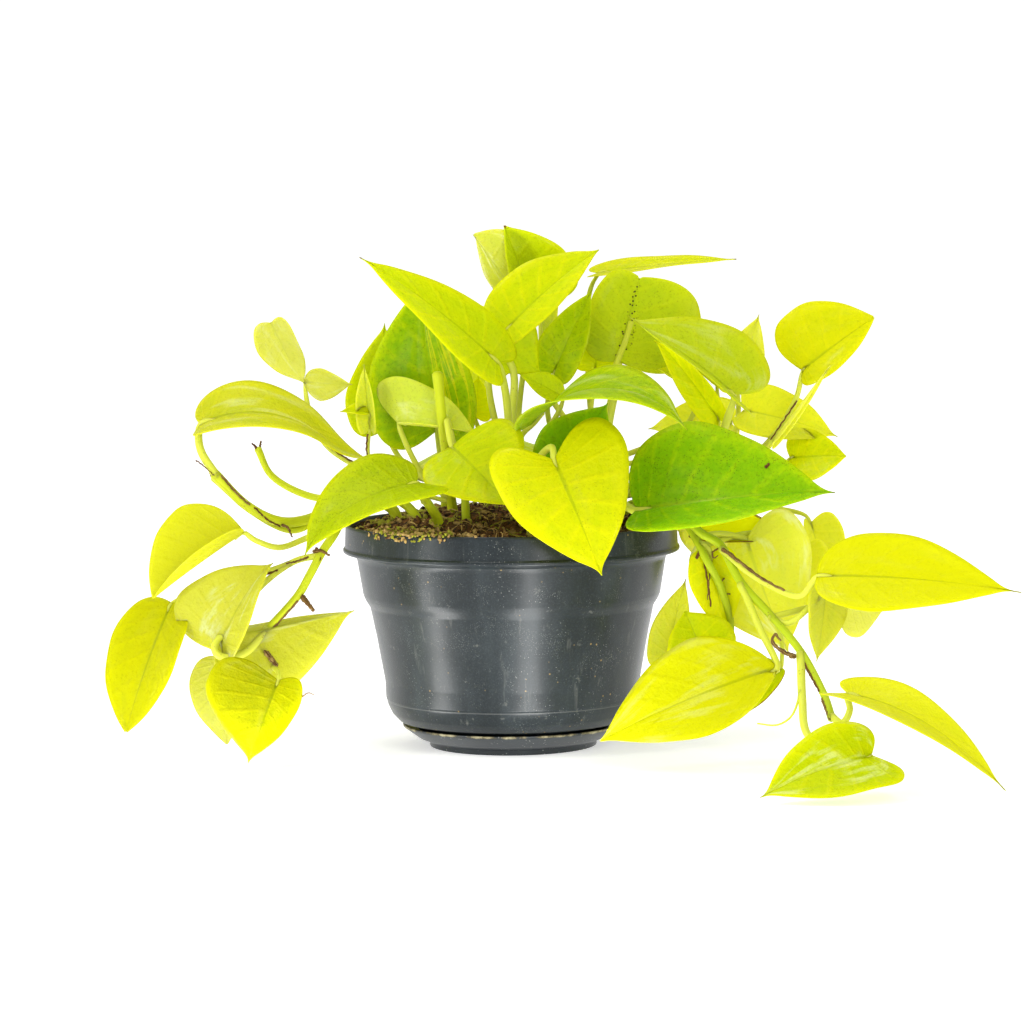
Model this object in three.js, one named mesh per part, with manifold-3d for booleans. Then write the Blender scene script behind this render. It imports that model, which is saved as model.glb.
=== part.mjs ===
// A golden pothos in a 15 cm hanging pot with a clip-on saucer.
// Millimetres, +Z up, the front of the plant towards -Y. The origin is the centre of the
// saucer's flat base. Every leafy stem is one solid: its stem, leaf stalks and blades are
// joined, and it stands in its own hole in the soil.
import * as THREE from 'three';
import { mergeVertices } from 'three/addons/utils/BufferGeometryUtils.js';
import Module from 'manifold-3d';

const wasm = await Module();
wasm.setup();

// ---- Driving dimensions ------------------------------------------------------------------

const POT_SIDES = 36; // facets round the pot, the saucer and the soil
const GAP = 0.3; // clearance between pieces that touch

const WALL = 1.3; // pot wall
const FOOT_RADIUS = 34.5; // ring that the pot stands on inside the saucer
const FOOT_INNER_RADIUS = 30;
const FLOOR_UNDERSIDE = 3.2;
const FLOOR_TOP = 4.6;
const LIP_RADIUS = 51.2; // lowest edge of the pot's outer wall, over the saucer
const LIP_HEIGHT = 11.8;
const RIM_RADIUS = 76;
const RIM_BOTTOM = 88.8;
const POT_HEIGHT = 101.3;
const DRAIN_HOLES = 6;
const DRAIN_RADIUS = 2.6;
const DRAIN_CIRCLE = 22;

const SAUCER_BASE_RADIUS = 37.8;
const SAUCER_RADIUS = 50;
const SAUCER_HEIGHT = 9.9;
const SAUCER_WALL = 1.1;
const SAUCER_FLOOR = 1.6;

const SOIL_EDGE_HEIGHT = 98;
const SOIL_CROWN = 9; // rise of the soil from the pot's wall to the middle
const SOIL_BUMP = 1.1; // half height of the lumps in the soil's surface
const SOIL_RINGS = 6;

const BLADE = 0.8; // thickness of a leaf
const LONG_BLADE = 55; // a leaf longer than this takes one more row of facets
const SMALL_BLADE = 32; // and a leaf shorter than this takes fewer columns
const BLADE_ROWS = 5; // rows of facets from a leaf's base to its tip
const BLADE_COLUMNS = [-1, -0.5, 0, 0.5, 1]; // from the left margin over the midrib to the right
const SMALL_COLUMNS = [-1, 0, 1];
const SLIVER = 0.1; // facets thinner than this are merged into their neighbours
const SPINE_STEPS = 24;
const STEM_SIDES = 5;
const STEM_STEP = 15; // one straight length of a stem
const STALK_SIDES = 4;
const STALK_STEP = 19; // one straight length of a leaf stalk
const STALK = [1.5, 1.1]; // radius of a leaf stalk at the stem and at the blade
const ROOT = 0.12; // how far a stalk runs on under its blade, as a share of the midrib

// ---- Leaves ------------------------------------------------------------------------------
// leaf(base, tip, width, face, stalk, shape)
//   base, tip  where the stalk meets the blade, and the tip
//   width      of the whole blade, or [left, right] where its halves differ, seen face up
//   face       the way the upper surface looks
//   stalk      points of the leaf stalk from the stem, up to the blade
//   arch, hook degrees that the midrib bends over its length, and again near its tip
//   fold, cup  degrees that each half rises at the midrib, and again up to its margin
//   twist      degrees that the blade turns about its midrib
//   lobe       how far the basal lobes reach behind the stalk
//   point      how drawn out the tip is

const SHAPE = { arch: 20, hook: 0, fold: 10, cup: 0, twist: 0, lobe: 0.8, point: 0.75, stalk: STALK };

function leaf(base, tip, width, face, stalk, shape) {
  const radius = shape.stalk ?? STALK;
  return { ...SHAPE, ...shape, base, tip, width: pair(width), face, path: stalk, radius };
}

function pair(value) {
  return Array.isArray(value) ? value : [value, value];
}

const VINES = [
  {
    name: 'vine_front_left',
    stems: [
      { radius: [2.4, 2], path: [[-32, -37, 88], [-32, -37, 104], [-36, -47, 113], [-41, -55, 121]] },
    ],
    leaves: [
      leaf([-41, -56, 124], [-90, -80, 94], 46, [-0.3, -0.6, 0.75], [[-38, -50, 115],
        [-40, -54, 120]], { arch: 48, hook: 24, fold: 8, cup: 10, twist: -4, lobe: 0.9 }),
    ],
  },
  {
    name: 'vine_left_middle',
    stems: [
      { radius: [2.4, 2.2], path: [[-26, -6, 88], [-26, -6, 104], [-27, -9, 114], [-28, -16, 128],
          [-30, -24, 146], [-32, -30, 170]] },
    ],
    leaves: [
      leaf([-33, -3, 143], [-40, -6, 211], [58, 40], [-0.1, -0.98, 0.15], [[-27, -9, 113],
        [-31, -4, 128]], { arch: 10, fold: [4, 10], cup: 10, lobe: 0.9, point: 0.6 }),
      leaf([-57, 8, 143], [-56, 2, 192], [34, 30], [-0.3, -0.9, 0.2], [[-27, -8, 112],
        [-40, 0, 122], [-50, 6, 130]], { arch: 10, fold: 8, cup: 12 }),
      leaf([-63, -10, 145], [-65, -14, 174], 14, [-0.2, -0.9, 0.3], [[-27, -8, 111],
        [-50, -6, 118], [-63, -9, 130]], { arch: 10, fold: 40, cup: 20, stalk: [1.1, 0.8] }),
      leaf([-63, -13, 152], [-76, -18, 153], 8, [-0.2, -0.7, 0.7], [[-63, -10, 147],
        [-62, -12, 150]], { arch: 20, fold: 20, cup: 10, lobe: 0.2, stalk: [0.9, 0.7] }),
      leaf([-50, -14, 147], [-14, -24, 143], [46, 26], [-0.15, -0.6, 0.8], [[-27, -9, 113],
        [-38, -10, 122], [-45, -12, 134]], { arch: 30, fold: [5, 60], cup: [30, 20], lobe: 0.9 }),
    ],
  },
  {
    name: 'vine_left_low',
    stems: [
      { radius: [2.2, 1.6], path: [[-20, -28, 88], [-20, -28, 104], [-21, -24, 120],
          [-24, -24, 136]] },
    ],
    leaves: [
      leaf([-26, -36, 138], [1, -66, 113], [54, 44], [-0.12, -0.78, 0.62], [[-22, -24, 120],
        [-27, -24, 146], [-28, -30, 148]], { arch: 15, fold: 6, cup: 10, lobe: 0.45,
        stalk: [1.6, 1.2] }),
    ],
  },
  {
    name: 'vine_crown_left',
    stems: [
      { radius: [2.6, 2.2], path: [[3, -12, 88], [3, -12, 104], [2, -13, 116]] },
    ],
    leaves: [
      leaf([-5, -34, 175], [-66, -44, 223], [40, 34], [0.42, -0.66, 0.6], [[2, -13, 115],
        [0, -20, 140], [-2, -26, 162]], { arch: 18, fold: 8, cup: 8, twist: -4, lobe: 0.8,
        point: 0.85, stalk: [2, 1.6] }),
      leaf([-15, -8, 191], [14, -4, 168], [40, 30], [0.3, -0.9, 0.3], [[2, -12, 114],
        [1, -12, 148], [1, -10, 172]], { arch: 12, fold: 6, cup: 8, lobe: 0.5, point: 0.5,
        stalk: [2, 1.5] }),
      leaf([2, 11, 204], [-17, 4, 231], [10, 26], [-0.3, -0.8, 0.5], [[8, 11, 180], [4, 12, 194]],
        { arch: 10, fold: 4, cup: 6, lobe: 0.5 }),
      leaf([10, 14, 200], [-2, 6, 235], [48, 48], [0, -0.9, 0.4], [[3, -10, 114], [4, 4, 150],
        [8, 11, 180]], { arch: 20, fold: [20, 5], cup: 10, lobe: 0.9, point: 0.35 }),
      leaf([-1, -16, 189], [41, -10, 224], [36, 26], [-0.25, -0.8, 0.5], [[2, -13, 114],
        [-9, -12, 160], [-6, -14, 180]], { arch: 24, fold: 10, cup: 10, lobe: 0.8, point: 0.5,
        stalk: [1.7, 1.3] }),
      leaf([-16, 14, 148], [-14, 10, 167], 17, [0, -0.9, 0.4], [[3, -9, 114], [-4, 6, 130],
        [-13, 13, 140]], { arch: 20, fold: 12, cup: 12 }),
    ],
  },
  {
    name: 'vine_front_centre',
    stems: [
      { radius: [2.6, 2.2], path: [[4, -30, 88], [4, -30, 104], [6, -32, 116]] },
    ],
    leaves: [
      leaf([19, -64, 134], [39, -98, 86], [62, 60], [-0.05, -0.86, 0.5], [[6, -32, 114],
        [12, -44, 132], [18, -56, 139]], { arch: 14, fold: 6, cup: 8, lobe: 1.3,
        stalk: [1.8, 1.4] }),
      leaf([10, -35, 148], [77, -81, 147], 46, [-0.08, -0.3, 0.95], [[6, -31, 114], [3, -28, 132],
        [5, -30, 142]], { arch: 85, hook: 15, fold: 4, cup: 10, lobe: 0.5 }),
      leaf([22, -28, 126], [44, -20, 156], 34, [-0.2, -0.9, 0.3], [[6, -31, 113], [14, -28, 118]],
        { arch: 14, fold: 6, cup: 8 }),
      leaf([24, -12, 158], [4, -14, 169], 14, [0.3, -0.8, 0.5], [[6, -30, 114], [14, -18, 138],
        [22, -13, 152]], { arch: 10, fold: 10, cup: 10, lobe: 0.3 }),
    ],
  },
  {
    name: 'vine_front_right',
    stems: [
      { radius: [2.4, 2.2], path: [[26, -20, 88], [26, -20, 104], [30, -24, 112], [40, -34, 112]] },
    ],
    leaves: [
      leaf([55, -58, 111], [142, -72, 119], [74, 56], [-0.05, -0.85, 0.52], [[38, -33, 112],
        [48, -48, 113]], { arch: 12, hook: 10, fold: [2, 36], cup: [10, 8], lobe: 0.6, point: 0.8,
        stalk: [2.2, 1.8] }),
      leaf([99, -40, 160], [52, -46, 196], [12, 54], [0.3, -0.75, 0.6], [[30, -22, 112],
        [62, -24, 118], [90, -32, 138], [97, -38, 152]], { arch: 24, hook: -16, fold: [30, 6],
        cup: [4, 12], lobe: 1.2, point: 0.95, stalk: [2, 1.7] }),
    ],
  },
  {
    name: 'vine_crown_right',
    stems: [
      { radius: [2.6, 2.2], path: [[38, 0, 88], [38, 0, 104], [40, 0, 118]] },
    ],
    leaves: [
      leaf([20, 6, 168], [38, 6, 206], [24, 22], [-0.25, -0.9, 0.25], [[39, 0, 115], [24, 2, 130],
        [17, 4, 150]], { arch: 14, fold: 8, cup: 10 }),
      leaf([39, 18, 169], [42, 16, 192], 22, [-0.2, -0.9, 0.25], [[40, 0, 115], [36, 10, 140]],
        { arch: 14, fold: 12, cup: 10 }),
      leaf([55, -6, 192], [59, -12, 213], [60, 38], [0.05, 0.95, 0.25], [[40, 0, 116],
        [45, 0, 156], [50, -1, 174]], { arch: 16, fold: 6, cup: 14, lobe: 3.2, point: -0.2,
        stalk: [1.7, 1.3] }),
      leaf([41, 26, 212], [104, 18, 218], 22, [0, -0.27, 0.96], [[40, 2, 116], [36, 20, 160],
        [36, 25, 198]], { arch: 8, fold: 6, cup: 6 }),
      leaf([93, -24, 148], [64, -28, 184], 16, [-0.5, -0.8, 0.3], [[40, -1, 116], [64, -10, 120],
        [88, -20, 136]], { arch: -30, hook: -40, fold: 20, cup: 20 }),
      leaf([93, -14, 163], [74, -16, 182], 16, [0.2, -0.5, 0.8], [[40, -1, 116], [66, -6, 120],
        [90, -12, 145]], { arch: -20, fold: 20, cup: 20 }),
      leaf([85, -4, 159], [66, -6, 170], 22, [0.2, -0.4, 0.9], [[40, 0, 116], [60, -2, 125],
        [80, -3, 145]], { arch: 30, fold: 10, cup: 10 }),
    ],
  },
  {
    name: 'vine_right_upper',
    stems: [
      { radius: [2.4, 1.8], path: [[58, -4, 88], [58, -4, 104], [64, -4, 112], [84, -4, 116],
          [98, -4, 120]] },
    ],
    leaves: [
      leaf([104, 26, 158], [114, 24, 193], 22, [-0.3, -0.9, 0.2], [[84, -4, 115], [100, 14, 128],
        [104, 24, 146]], { arch: 10, fold: 10, cup: 10 }),
      leaf([131, -14, 169], [163, -20, 193], [48, 20], [-0.2, -0.95, 0.2], [[98, -4, 119],
        [118, -8, 139], [128, -12, 156]], { arch: 20, fold: [6, 12], cup: 10, lobe: 0.8,
        point: -0.1 }),
      leaf([118, -17, 138], [143, -24, 172], 8, [0.5, -0.8, 0], [[96, -4, 119], [105, -12, 122]],
        { arch: 0, fold: 60, cup: 30 }),
      leaf([106, 6, 150], [148, 0, 138], 30, [0.1, -0.75, 0.6], [[84, -4, 115], [98, 2, 132],
        [102, 4, 142]], { arch: 20, fold: 8, cup: 8 }),
      leaf([100, 9, 144], [62, 6, 142], 26, [-0.1, -0.75, 0.6], [[84, -4, 115], [92, 4, 128]],
        { arch: 20, fold: 8, cup: 8 }),
      leaf([126, -4, 129], [151, -10, 130], [26, 34], [0, -0.8, 0.6], [[96, -4, 119],
        [112, -4, 114]], { arch: 15, fold: 10, cup: 10, point: 0.35 }),
    ],
  },
  {
    name: 'vine_left_arch',
    stems: [
      { radius: [2.6, 2.2], path: [[-52, 6, 88], [-52, 6, 104], [-60, 6, 110], [-75, 2, 109],
          [-93, -14, 104], [-105, -24, 105], [-118, -32, 113], [-131, -37, 127]] },
      { radius: [1.8, 1.5], path: [[-56, 6, 108], [-64, 13, 113], [-82, 14, 111], [-96, 16, 114],
          [-109, 18, 122], [-115, 20, 134]] },
      { radius: [1.6, 1.2], path: [[-86, -8, 104], [-99, -18, 100], [-116, -29, 110],
          [-132, -33, 125]] },
    ],
    leaves: [
      leaf([-106, -18, 193], [-92, -8, 165], [23, 22], [-0.3, -0.9, -0.2], [], { arch: 20,
        fold: 10, cup: 30, lobe: 0.7, point: 0.5 }),
      leaf([-92, -8, 166], [-70, -16, 165], 16, [-0.2, -0.9, -0.3], [[-56, 6, 108], [-54, 4, 118],
        [-70, 2, 127], [-83, -2, 137], [-90, -6, 152]], { arch: 10, fold: 10, cup: 10, lobe: 0.2,
        stalk: [1.4, 1.1] }),
      leaf([-137, -34, 149], [-58, -24, 130], 42, [0.1, -0.45, 0.88], [[-130, -37, 126],
        [-137, -38, 138]], { arch: 114, hook: -60, fold: 8, cup: 10, twist: 6, lobe: 0.6,
        point: 1, stalk: [1.9, 1.6] }),
    ],
  },
  {
    name: 'vine_left_trail',
    stems: [
      { radius: [2.2, 1.7], path: [[-42, -14, 88], [-42, -14, 104], [-52, -12, 113],
          [-66, -16, 112], [-75, -24, 105], [-79, -36, 99], [-84, -40, 92], [-89, -44, 83],
          [-95, -46, 73], [-107, -48, 60], [-116, -48, 50], [-124, -46, 42]] },
    ],
    leaves: [
      leaf([-118, -46, 102], [-158, -58, 74], [16, 48], [-0.2, -0.9, 0.3], [[-76, -26, 104],
        [-92, -27, 97], [-103, -35, 94], [-113, -43, 98]], { arch: 16, fold: [100, 4], cup: 10,
        lobe: 0.4, point: -0.5, stalk: [1.5, 1.2] }),
      leaf([-130, -52, 50], [-104, -60, 90], [54, 26], [-0.3, -0.85, 0.3], [[-84, -40, 91],
        [-98, -36, 87], [-114, -34, 74], [-127, -42, 55]], { arch: 30, hook: 30, fold: [0, 20],
        cup: [20, 5], lobe: 0.8, stalk: [1.5, 1.2] }),
      leaf([-151, -38, 70], [-171, -54, 14], [29, 37], [-0.4, -0.9, 0.1], [[-98, -36, 87],
        [-118, -32, 80], [-139, -32, 74]], { arch: 20, fold: 8, cup: 8, lobe: 0.5, point: -0.5,
        stalk: [1.3, 1.1] }),
      leaf([-129, -54, 56], [-69, -48, 67], [60, 40], [0, 0.95, -0.3], [[-108, -48, 59],
        [-117, -55, 50], [-126, -60, 48], [-131, -58, 51]], { arch: 16, fold: [0, 65], cup: 8,
        lobe: 0.8, stalk: [1.9, 1.5] }),
      leaf([-103, -62, 38], [-116, -74, 3], [26, 60], [0.1, -0.95, 0.3], [[-120, -47, 45],
        [-112, -48, 44], [-104, -56, 42]], { arch: 16, fold: 6, cup: 8, lobe: 0.85,
        stalk: [1.3, 1.1] }),
      leaf([-129, -36, 45], [-127, -44, 7], [34, 30], [-0.5, -0.85, 0.1], [[-124, -46, 43],
        [-126, -40, 46]], { arch: 16, fold: 10, cup: 10, lobe: 0.6, point: 0.1,
        stalk: [1.3, 1.1] }),
    ],
  },
  {
    name: 'vine_right_trail',
    stems: [
      { radius: [2.1, 1.6], path: [[46, -24, 88], [46, -24, 104], [56, -32, 110], [68, -42, 109],
          [78, -50, 105], [84, -56, 100], [92, -60, 95], [100, -68, 80], [112, -82, 67],
          [124, -100, 53], [132, -120, 38], [135, -132, 28]] },
    ],
    leaves: [
      leaf([114, -98, 46], [37, -88, 13], [42, 49], [-0.2, -0.85, 0.5], [[100, -69, 79],
        [103, -75, 72], [108, -86, 60]], { arch: 24, fold: 8, cup: 8, lobe: 0.1, point: 0.4,
        stalk: [1.7, 1.4] }),
      leaf([117, -77, 43], [103, -77, 24], [8, 26], [-0.1, -0.95, 0.3], [[113, -83, 66],
        [117, -79, 56]], { arch: 30, fold: 10, cup: 14, lobe: 0.5, point: 0.2, stalk: [1.1, 0.9] }),
      leaf([131, -104, 86], [217, -124, 80], [42, 38], [0, -0.8, 0.6], [[92, -61, 94],
        [104, -72, 84], [118, -86, 77], [125, -96, 77]], { arch: 20, fold: 6, cup: 8, lobe: 0.4,
        point: 1, stalk: [1.5, 1.2] }),
      leaf([141, -142, 40], [204, -178, 3], [30, 34], [0.3, -0.5, 0.8], [[135, -131, 29],
        [139, -138, 27], [142, -141, 33]], { arch: 50, hook: -6, fold: [8, 14], cup: 8, lobe: 0.9,
        point: 1, stalk: [1.6, 1.3] }),
      leaf([149, -165, 17], [101, -187, 3], [52, 36], [0, -0.4, 0.92], [[124, -101, 52],
        [123, -124, 36], [124, -145, 23], [137, -160, 16]], { arch: 18, fold: [-2, 30], cup: 8,
        lobe: 0.9, stalk: [1.9, 1.5] }),
      leaf([136, -84, 79], [132, -82, 46], 22, [0.5, -0.8, 0], [[112, -83, 66], [120, -87, 64],
        [130, -87, 72]], { arch: 10, fold: 10, cup: 10 }),
      leaf([143, -73, 72], [163, -70, 67], [8, 34], [0.2, -0.9, 0.3], [[113, -82, 66],
        [132, -76, 70]], { arch: 10, fold: 10, cup: 10, lobe: 0.4 }),
    ],
  },
  {
    name: 'vine_right_rear',
    stems: [
      { radius: [2.1, 1.6], path: [[48, -6, 88], [48, -6, 104], [58, -17, 111], [70, -31, 110],
          [77, -40, 104], [82, -49, 96], [86, -54, 88], [92, -54, 76], [96, -52, 62],
          [96, -50, 48]] },
    ],
    leaves: [
      leaf([68, -48, 42], [77, -48, 80], 20, [-0.4, -0.9, 0], [[96, -50, 49], [84, -50, 44]],
        { arch: 14, fold: 14, cup: 10 }),
      leaf([84, -56, 46], [76, -54, 66], 34, [0.1, -0.9, 0.3], [[96, -51, 50], [90, -54, 46]],
        { arch: 14, fold: 14, cup: 10, point: 0.4 }),
      leaf([88, -50, 90], [94, -52, 54], 24, [0, -0.95, 0.2], [[83, -50, 95], [86, -51, 94]],
        { arch: 14, fold: 10, cup: 10 }),
      leaf([104, -40, 96], [122, -52, 46], 56, [-0.3, -0.9, 0.2], [[81, -48, 97], [92, -44, 99]],
        { arch: 24, fold: 8, cup: 8, lobe: 1 }),
      leaf([134, -20, 101], [144, -24, 67], [30, 8], [-0.3, -0.9, 0.1], [[62, -24, 111],
        [90, -4, 108], [114, -4, 107], [130, -16, 105]], { arch: 14, fold: 10, cup: 10,
        stalk: [1.4, 1] }),
      leaf([84, -26, 99], [124, -42, 98], 24, [0, -0.8, 0.6], [[64, -24, 110], [76, -24, 105]],
        { arch: -10, fold: 20, cup: 30 }),
      leaf([84, 6, 105], [86, 20, 80], 18, [-0.3, -0.9, 0.1], [[62, -22, 111], [74, -14, 112],
        [82, -4, 111]], { arch: 14, fold: 10, cup: 10, lobe: 0.4 }),
      leaf([130, -36, 92], [136, -38, 60], 24, [-0.3, -0.9, 0.1], [[83, -51, 94], [104, -36, 98],
        [120, -34, 97]], { arch: 14, fold: 10, cup: 10 }),
    ],
  },
  {
    name: 'vine_back_left',
    stems: [
      { radius: [2.4, 1.9], path: [[-30, 30, 88], [-30, 30, 104], [-30, 33, 118], [-30, 37, 132]] },
    ],
    leaves: [
      leaf([-34, 44, 148], [-46, 72, 184], 44, [-0.3, 0.75, 0.6], [[-30, 37, 131],
        [-32, 40, 140]], { arch: 26, fold: 8, cup: 8 }),
      leaf([-10, 40, 162], [-22, 70, 200], 44, [0.1, 0.8, 0.6], [[-30, 36, 128], [-22, 36, 142],
        [-13, 37, 154]], { arch: 26, fold: 8, cup: 8 }),
      leaf([-42, 52, 122], [-56, 92, 108], 46, [-0.4, 0.4, 0.85], [[-30, 34, 116],
        [-36, 42, 124]], { arch: 40, fold: 8, cup: 8 }),
      leaf([-70, 30, 112], [-88, 46, 94], 30, [-0.5, 0.5, 0.75], [[-30, 33, 115], [-50, 32, 120]],
        { arch: 30, fold: 8, cup: 8 }),
    ],
  },
  {
    name: 'vine_back_right',
    stems: [
      { radius: [2.4, 1.9], path: [[34, 32, 88], [34, 32, 104], [35, 34, 118], [36, 38, 132]] },
    ],
    leaves: [
      leaf([54, 46, 182], [62, 74, 206], 34, [0.2, 0.8, 0.6], [[36, 37, 131], [44, 38, 146]],
        { arch: 26, fold: 8, cup: 8 }),
      leaf([14, 42, 188], [24, 66, 214], 28, [-0.1, 0.85, 0.5], [[36, 37, 130], [26, 36, 144],
        [17, 39, 160]], { arch: 24, fold: 8, cup: 8 }),
      leaf([70, 42, 122], [116, 66, 112], 44, [0.3, 0.4, 0.87], [[35, 35, 118], [54, 38, 124]],
        { arch: 36, fold: 8, cup: 8 }),
      leaf([82, 48, 138], [108, 66, 150], 26, [0.3, 0.6, 0.7], [[36, 36, 122], [60, 44, 130]],
        { arch: 26, fold: 8, cup: 8 }),
    ],
  },
  {
    name: 'vine_back_trail',
    stems: [
      { radius: [2.2, 1.6], path: [[4, 52, 88], [4, 52, 104], [5, 62, 112], [5, 74, 110],
          [4, 86, 98], [2, 94, 78], [2, 102, 56], [4, 110, 36], [6, 120, 18]] },
    ],
    leaves: [
      leaf([14, 60, 126], [26, 98, 120], 44, [0.2, 0.3, 0.93], [[5, 62, 112], [9, 57, 120]],
        { arch: 46, fold: 8, cup: 8 }),
      leaf([-18, 96, 88], [-36, 110, 48], 46, [-0.2, 0.9, 0.3], [[4, 88, 95], [-8, 92, 94]],
        { arch: 24, fold: 8, cup: 8 }),
      leaf([22, 100, 72], [38, 112, 30], 46, [0.25, 0.9, 0.3], [[2, 96, 73], [12, 98, 77]],
        { arch: 24, fold: 8, cup: 8 }),
      leaf([-16, 112, 48], [-34, 128, 8], 44, [-0.2, 0.85, 0.4], [[2, 103, 53], [-8, 108, 53]],
        { arch: 24, fold: 8, cup: 8 }),
      leaf([14, 130, 22], [30, 156, 4], 40, [0.1, 0.5, 0.85], [[6, 120, 18], [10, 126, 20]],
        { arch: 30, fold: 8, cup: 8 }),
    ],
  },
  {
    name: 'vine_back_side',
    stems: [
      { radius: [2.1, 1.6], path: [[58, 22, 88], [58, 22, 104], [70, 26, 110], [82, 28, 102],
          [92, 30, 88]] },
    ],
    leaves: [
      leaf([98, 30, 84], [118, 40, 50], 40, [0.6, 0.7, 0.3], [[92, 30, 88], [95, 30, 87]],
        { arch: 24, fold: 8, cup: 8 }),
      leaf([84, 44, 100], [96, 74, 72], 42, [0.4, 0.8, 0.4], [[82, 28, 102], [83, 36, 103]],
        { arch: 30, fold: 8, cup: 8 }),
    ],
  },
];

// ---- Solids ------------------------------------------------------------------------------

function toSolid(geometry) {
  geometry.deleteAttribute('normal');
  geometry.deleteAttribute('uv');
  const merged = mergeVertices(geometry, 1e-4);
  const vertProperties = new Float32Array(merged.attributes.position.array);
  const triVerts = new Uint32Array(merged.index.array);
  return new wasm.Manifold(new wasm.Mesh({ numProp: 3, vertProperties, triVerts }));
}

function toGeometry(solid) {
  const mesh = solid.getMesh();
  const geometry = new THREE.BufferGeometry();
  geometry.setAttribute('position', new THREE.BufferAttribute(new Float32Array(mesh.vertProperties), 3));
  geometry.setIndex(new THREE.BufferAttribute(new Uint32Array(mesh.triVerts), 1));
  geometry.computeVertexNormals();
  return geometry;
}

function fromGrid(points, triangles) {
  const geometry = new THREE.BufferGeometry().setFromPoints(points);
  geometry.setIndex(triangles);
  return geometry;
}

// The one body of a joined solid, with the slivers along its seams merged away.
function tidied(solid) {
  const bodies = solid.asOriginal().simplify(SLIVER).decompose();
  return bodies.reduce((best, body) => (body.volume() > best.volume() ? body : best));
}

// A profile of [radius, height] points turned about Z. It closes on itself or ends on the axis.
function turned(profile) {
  const points = profile.map(([radius, height]) => new THREE.Vector2(radius, height));
  return new THREE.LatheGeometry(points, POT_SIDES).rotateX(Math.PI / 2);
}

function rod(radius, from, to, x, y) {
  const geometry = new THREE.CylinderGeometry(radius, radius, to - from, 10).rotateX(Math.PI / 2);
  return geometry.translate(x, y, (from + to) / 2);
}

// ---- Pot, saucer and soil ----------------------------------------------------------------

function saucer() {
  return turned([
    [0, 0], [SAUCER_BASE_RADIUS, 0], [SAUCER_BASE_RADIUS, 2.2], [43, 4.3], [49.5, 9],
    [SAUCER_RADIUS, SAUCER_HEIGHT], [SAUCER_RADIUS - SAUCER_WALL, SAUCER_HEIGHT], [48.2, 9.2],
    [42.2, 5.4], [SAUCER_BASE_RADIUS - SAUCER_WALL, 3.3],
    [SAUCER_BASE_RADIUS - SAUCER_WALL, SAUCER_FLOOR], [0, SAUCER_FLOOR],
  ]);
}

// The pot's outer wall from its lip up to the rim's bottom edge, with the seam and the step.
const OUTER_WALL = [
  [LIP_RADIUS, LIP_HEIGHT], [54.6, 15.4], [56.3, 18.9], [57.6, 30.1], [61.3, 50.3],
  [64.1, 63.7], [67.1, 69.1], [69.7, 85],
];

// The inner wall, from the floor up. The soil fills the same profile.
const INNER_WALL = [
  [34.2, FLOOR_TOP], [39.6, 7.2], [45.2, 11.9], [50.4, 13.3], [55, 19.4],
  [64.1 - WALL, 64], [67.1 - WALL, 69.5], [69.7 - WALL, 86], [73, 90.5],
];

function pot() {
  const outside = [
    [FOOT_INNER_RADIUS, FLOOR_UNDERSIDE], [FOOT_INNER_RADIUS, SAUCER_FLOOR + GAP],
    [FOOT_RADIUS, SAUCER_FLOOR + GAP], [FOOT_RADIUS, FLOOR_UNDERSIDE], [40.5, 6], [46, 10.6],
  ];
  const rim = [
    [RIM_RADIUS, RIM_BOTTOM], [75.6, 90.8], [74.9, 100.4], [74.3, POT_HEIGHT], [73.3, 100],
  ];
  const profile = [[0, FLOOR_UNDERSIDE], ...outside, ...OUTER_WALL, ...rim];
  const shell = toSolid(turned([...profile, ...INNER_WALL.toReversed(), [0, FLOOR_TOP]]));
  const holes = [];
  for (let i = 0; i < DRAIN_HOLES; i++) {
    const angle = (2 * Math.PI * i) / DRAIN_HOLES;
    const [x, y] = [DRAIN_CIRCLE * Math.cos(angle), DRAIN_CIRCLE * Math.sin(angle)];
    holes.push(toSolid(rod(DRAIN_RADIUS, 0, FLOOR_TOP + 2, x, y)));
  }
  return toGeometry(shell.subtract(wasm.Manifold.union(holes)));
}

// A mound with two sets of crossing waves for its lumps, level where it meets the pot.
function soilHeight(x, y, radius) {
  const share = radius / (73 - GAP);
  const bumps = Math.sin(x / 5.1 + 1.3) * Math.cos(y / 6.3) + Math.sin((x + y) / 3.7);
  return SOIL_EDGE_HEIGHT + SOIL_CROWN * (1 - share ** 2) + SOIL_BUMP * bumps * (1 - share ** 8);
}

function soil() {
  const wall = INNER_WALL.map(([radius, height]) => [radius - GAP - 0.1, height + GAP]);
  const shell = [[0, wall[0][1]], ...wall, [73 - GAP, SOIL_EDGE_HEIGHT]];
  const edge = shell.length - 1;
  for (let ring = 1; ring <= SOIL_RINGS; ring++) {
    shell.push([(73 - GAP) * (1 - ring / SOIL_RINGS), 0]);
  }
  const geometry = turned(shell);
  const position = geometry.attributes.position;
  for (let i = 0; i < position.count; i++) {
    if (i % shell.length <= edge) continue;
    const [x, y] = [position.getX(i), position.getY(i)];
    position.setZ(i, soilHeight(x, y, Math.hypot(x, y)));
  }
  return toSolid(geometry);
}

// ---- Stems and leaves --------------------------------------------------------------------

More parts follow.
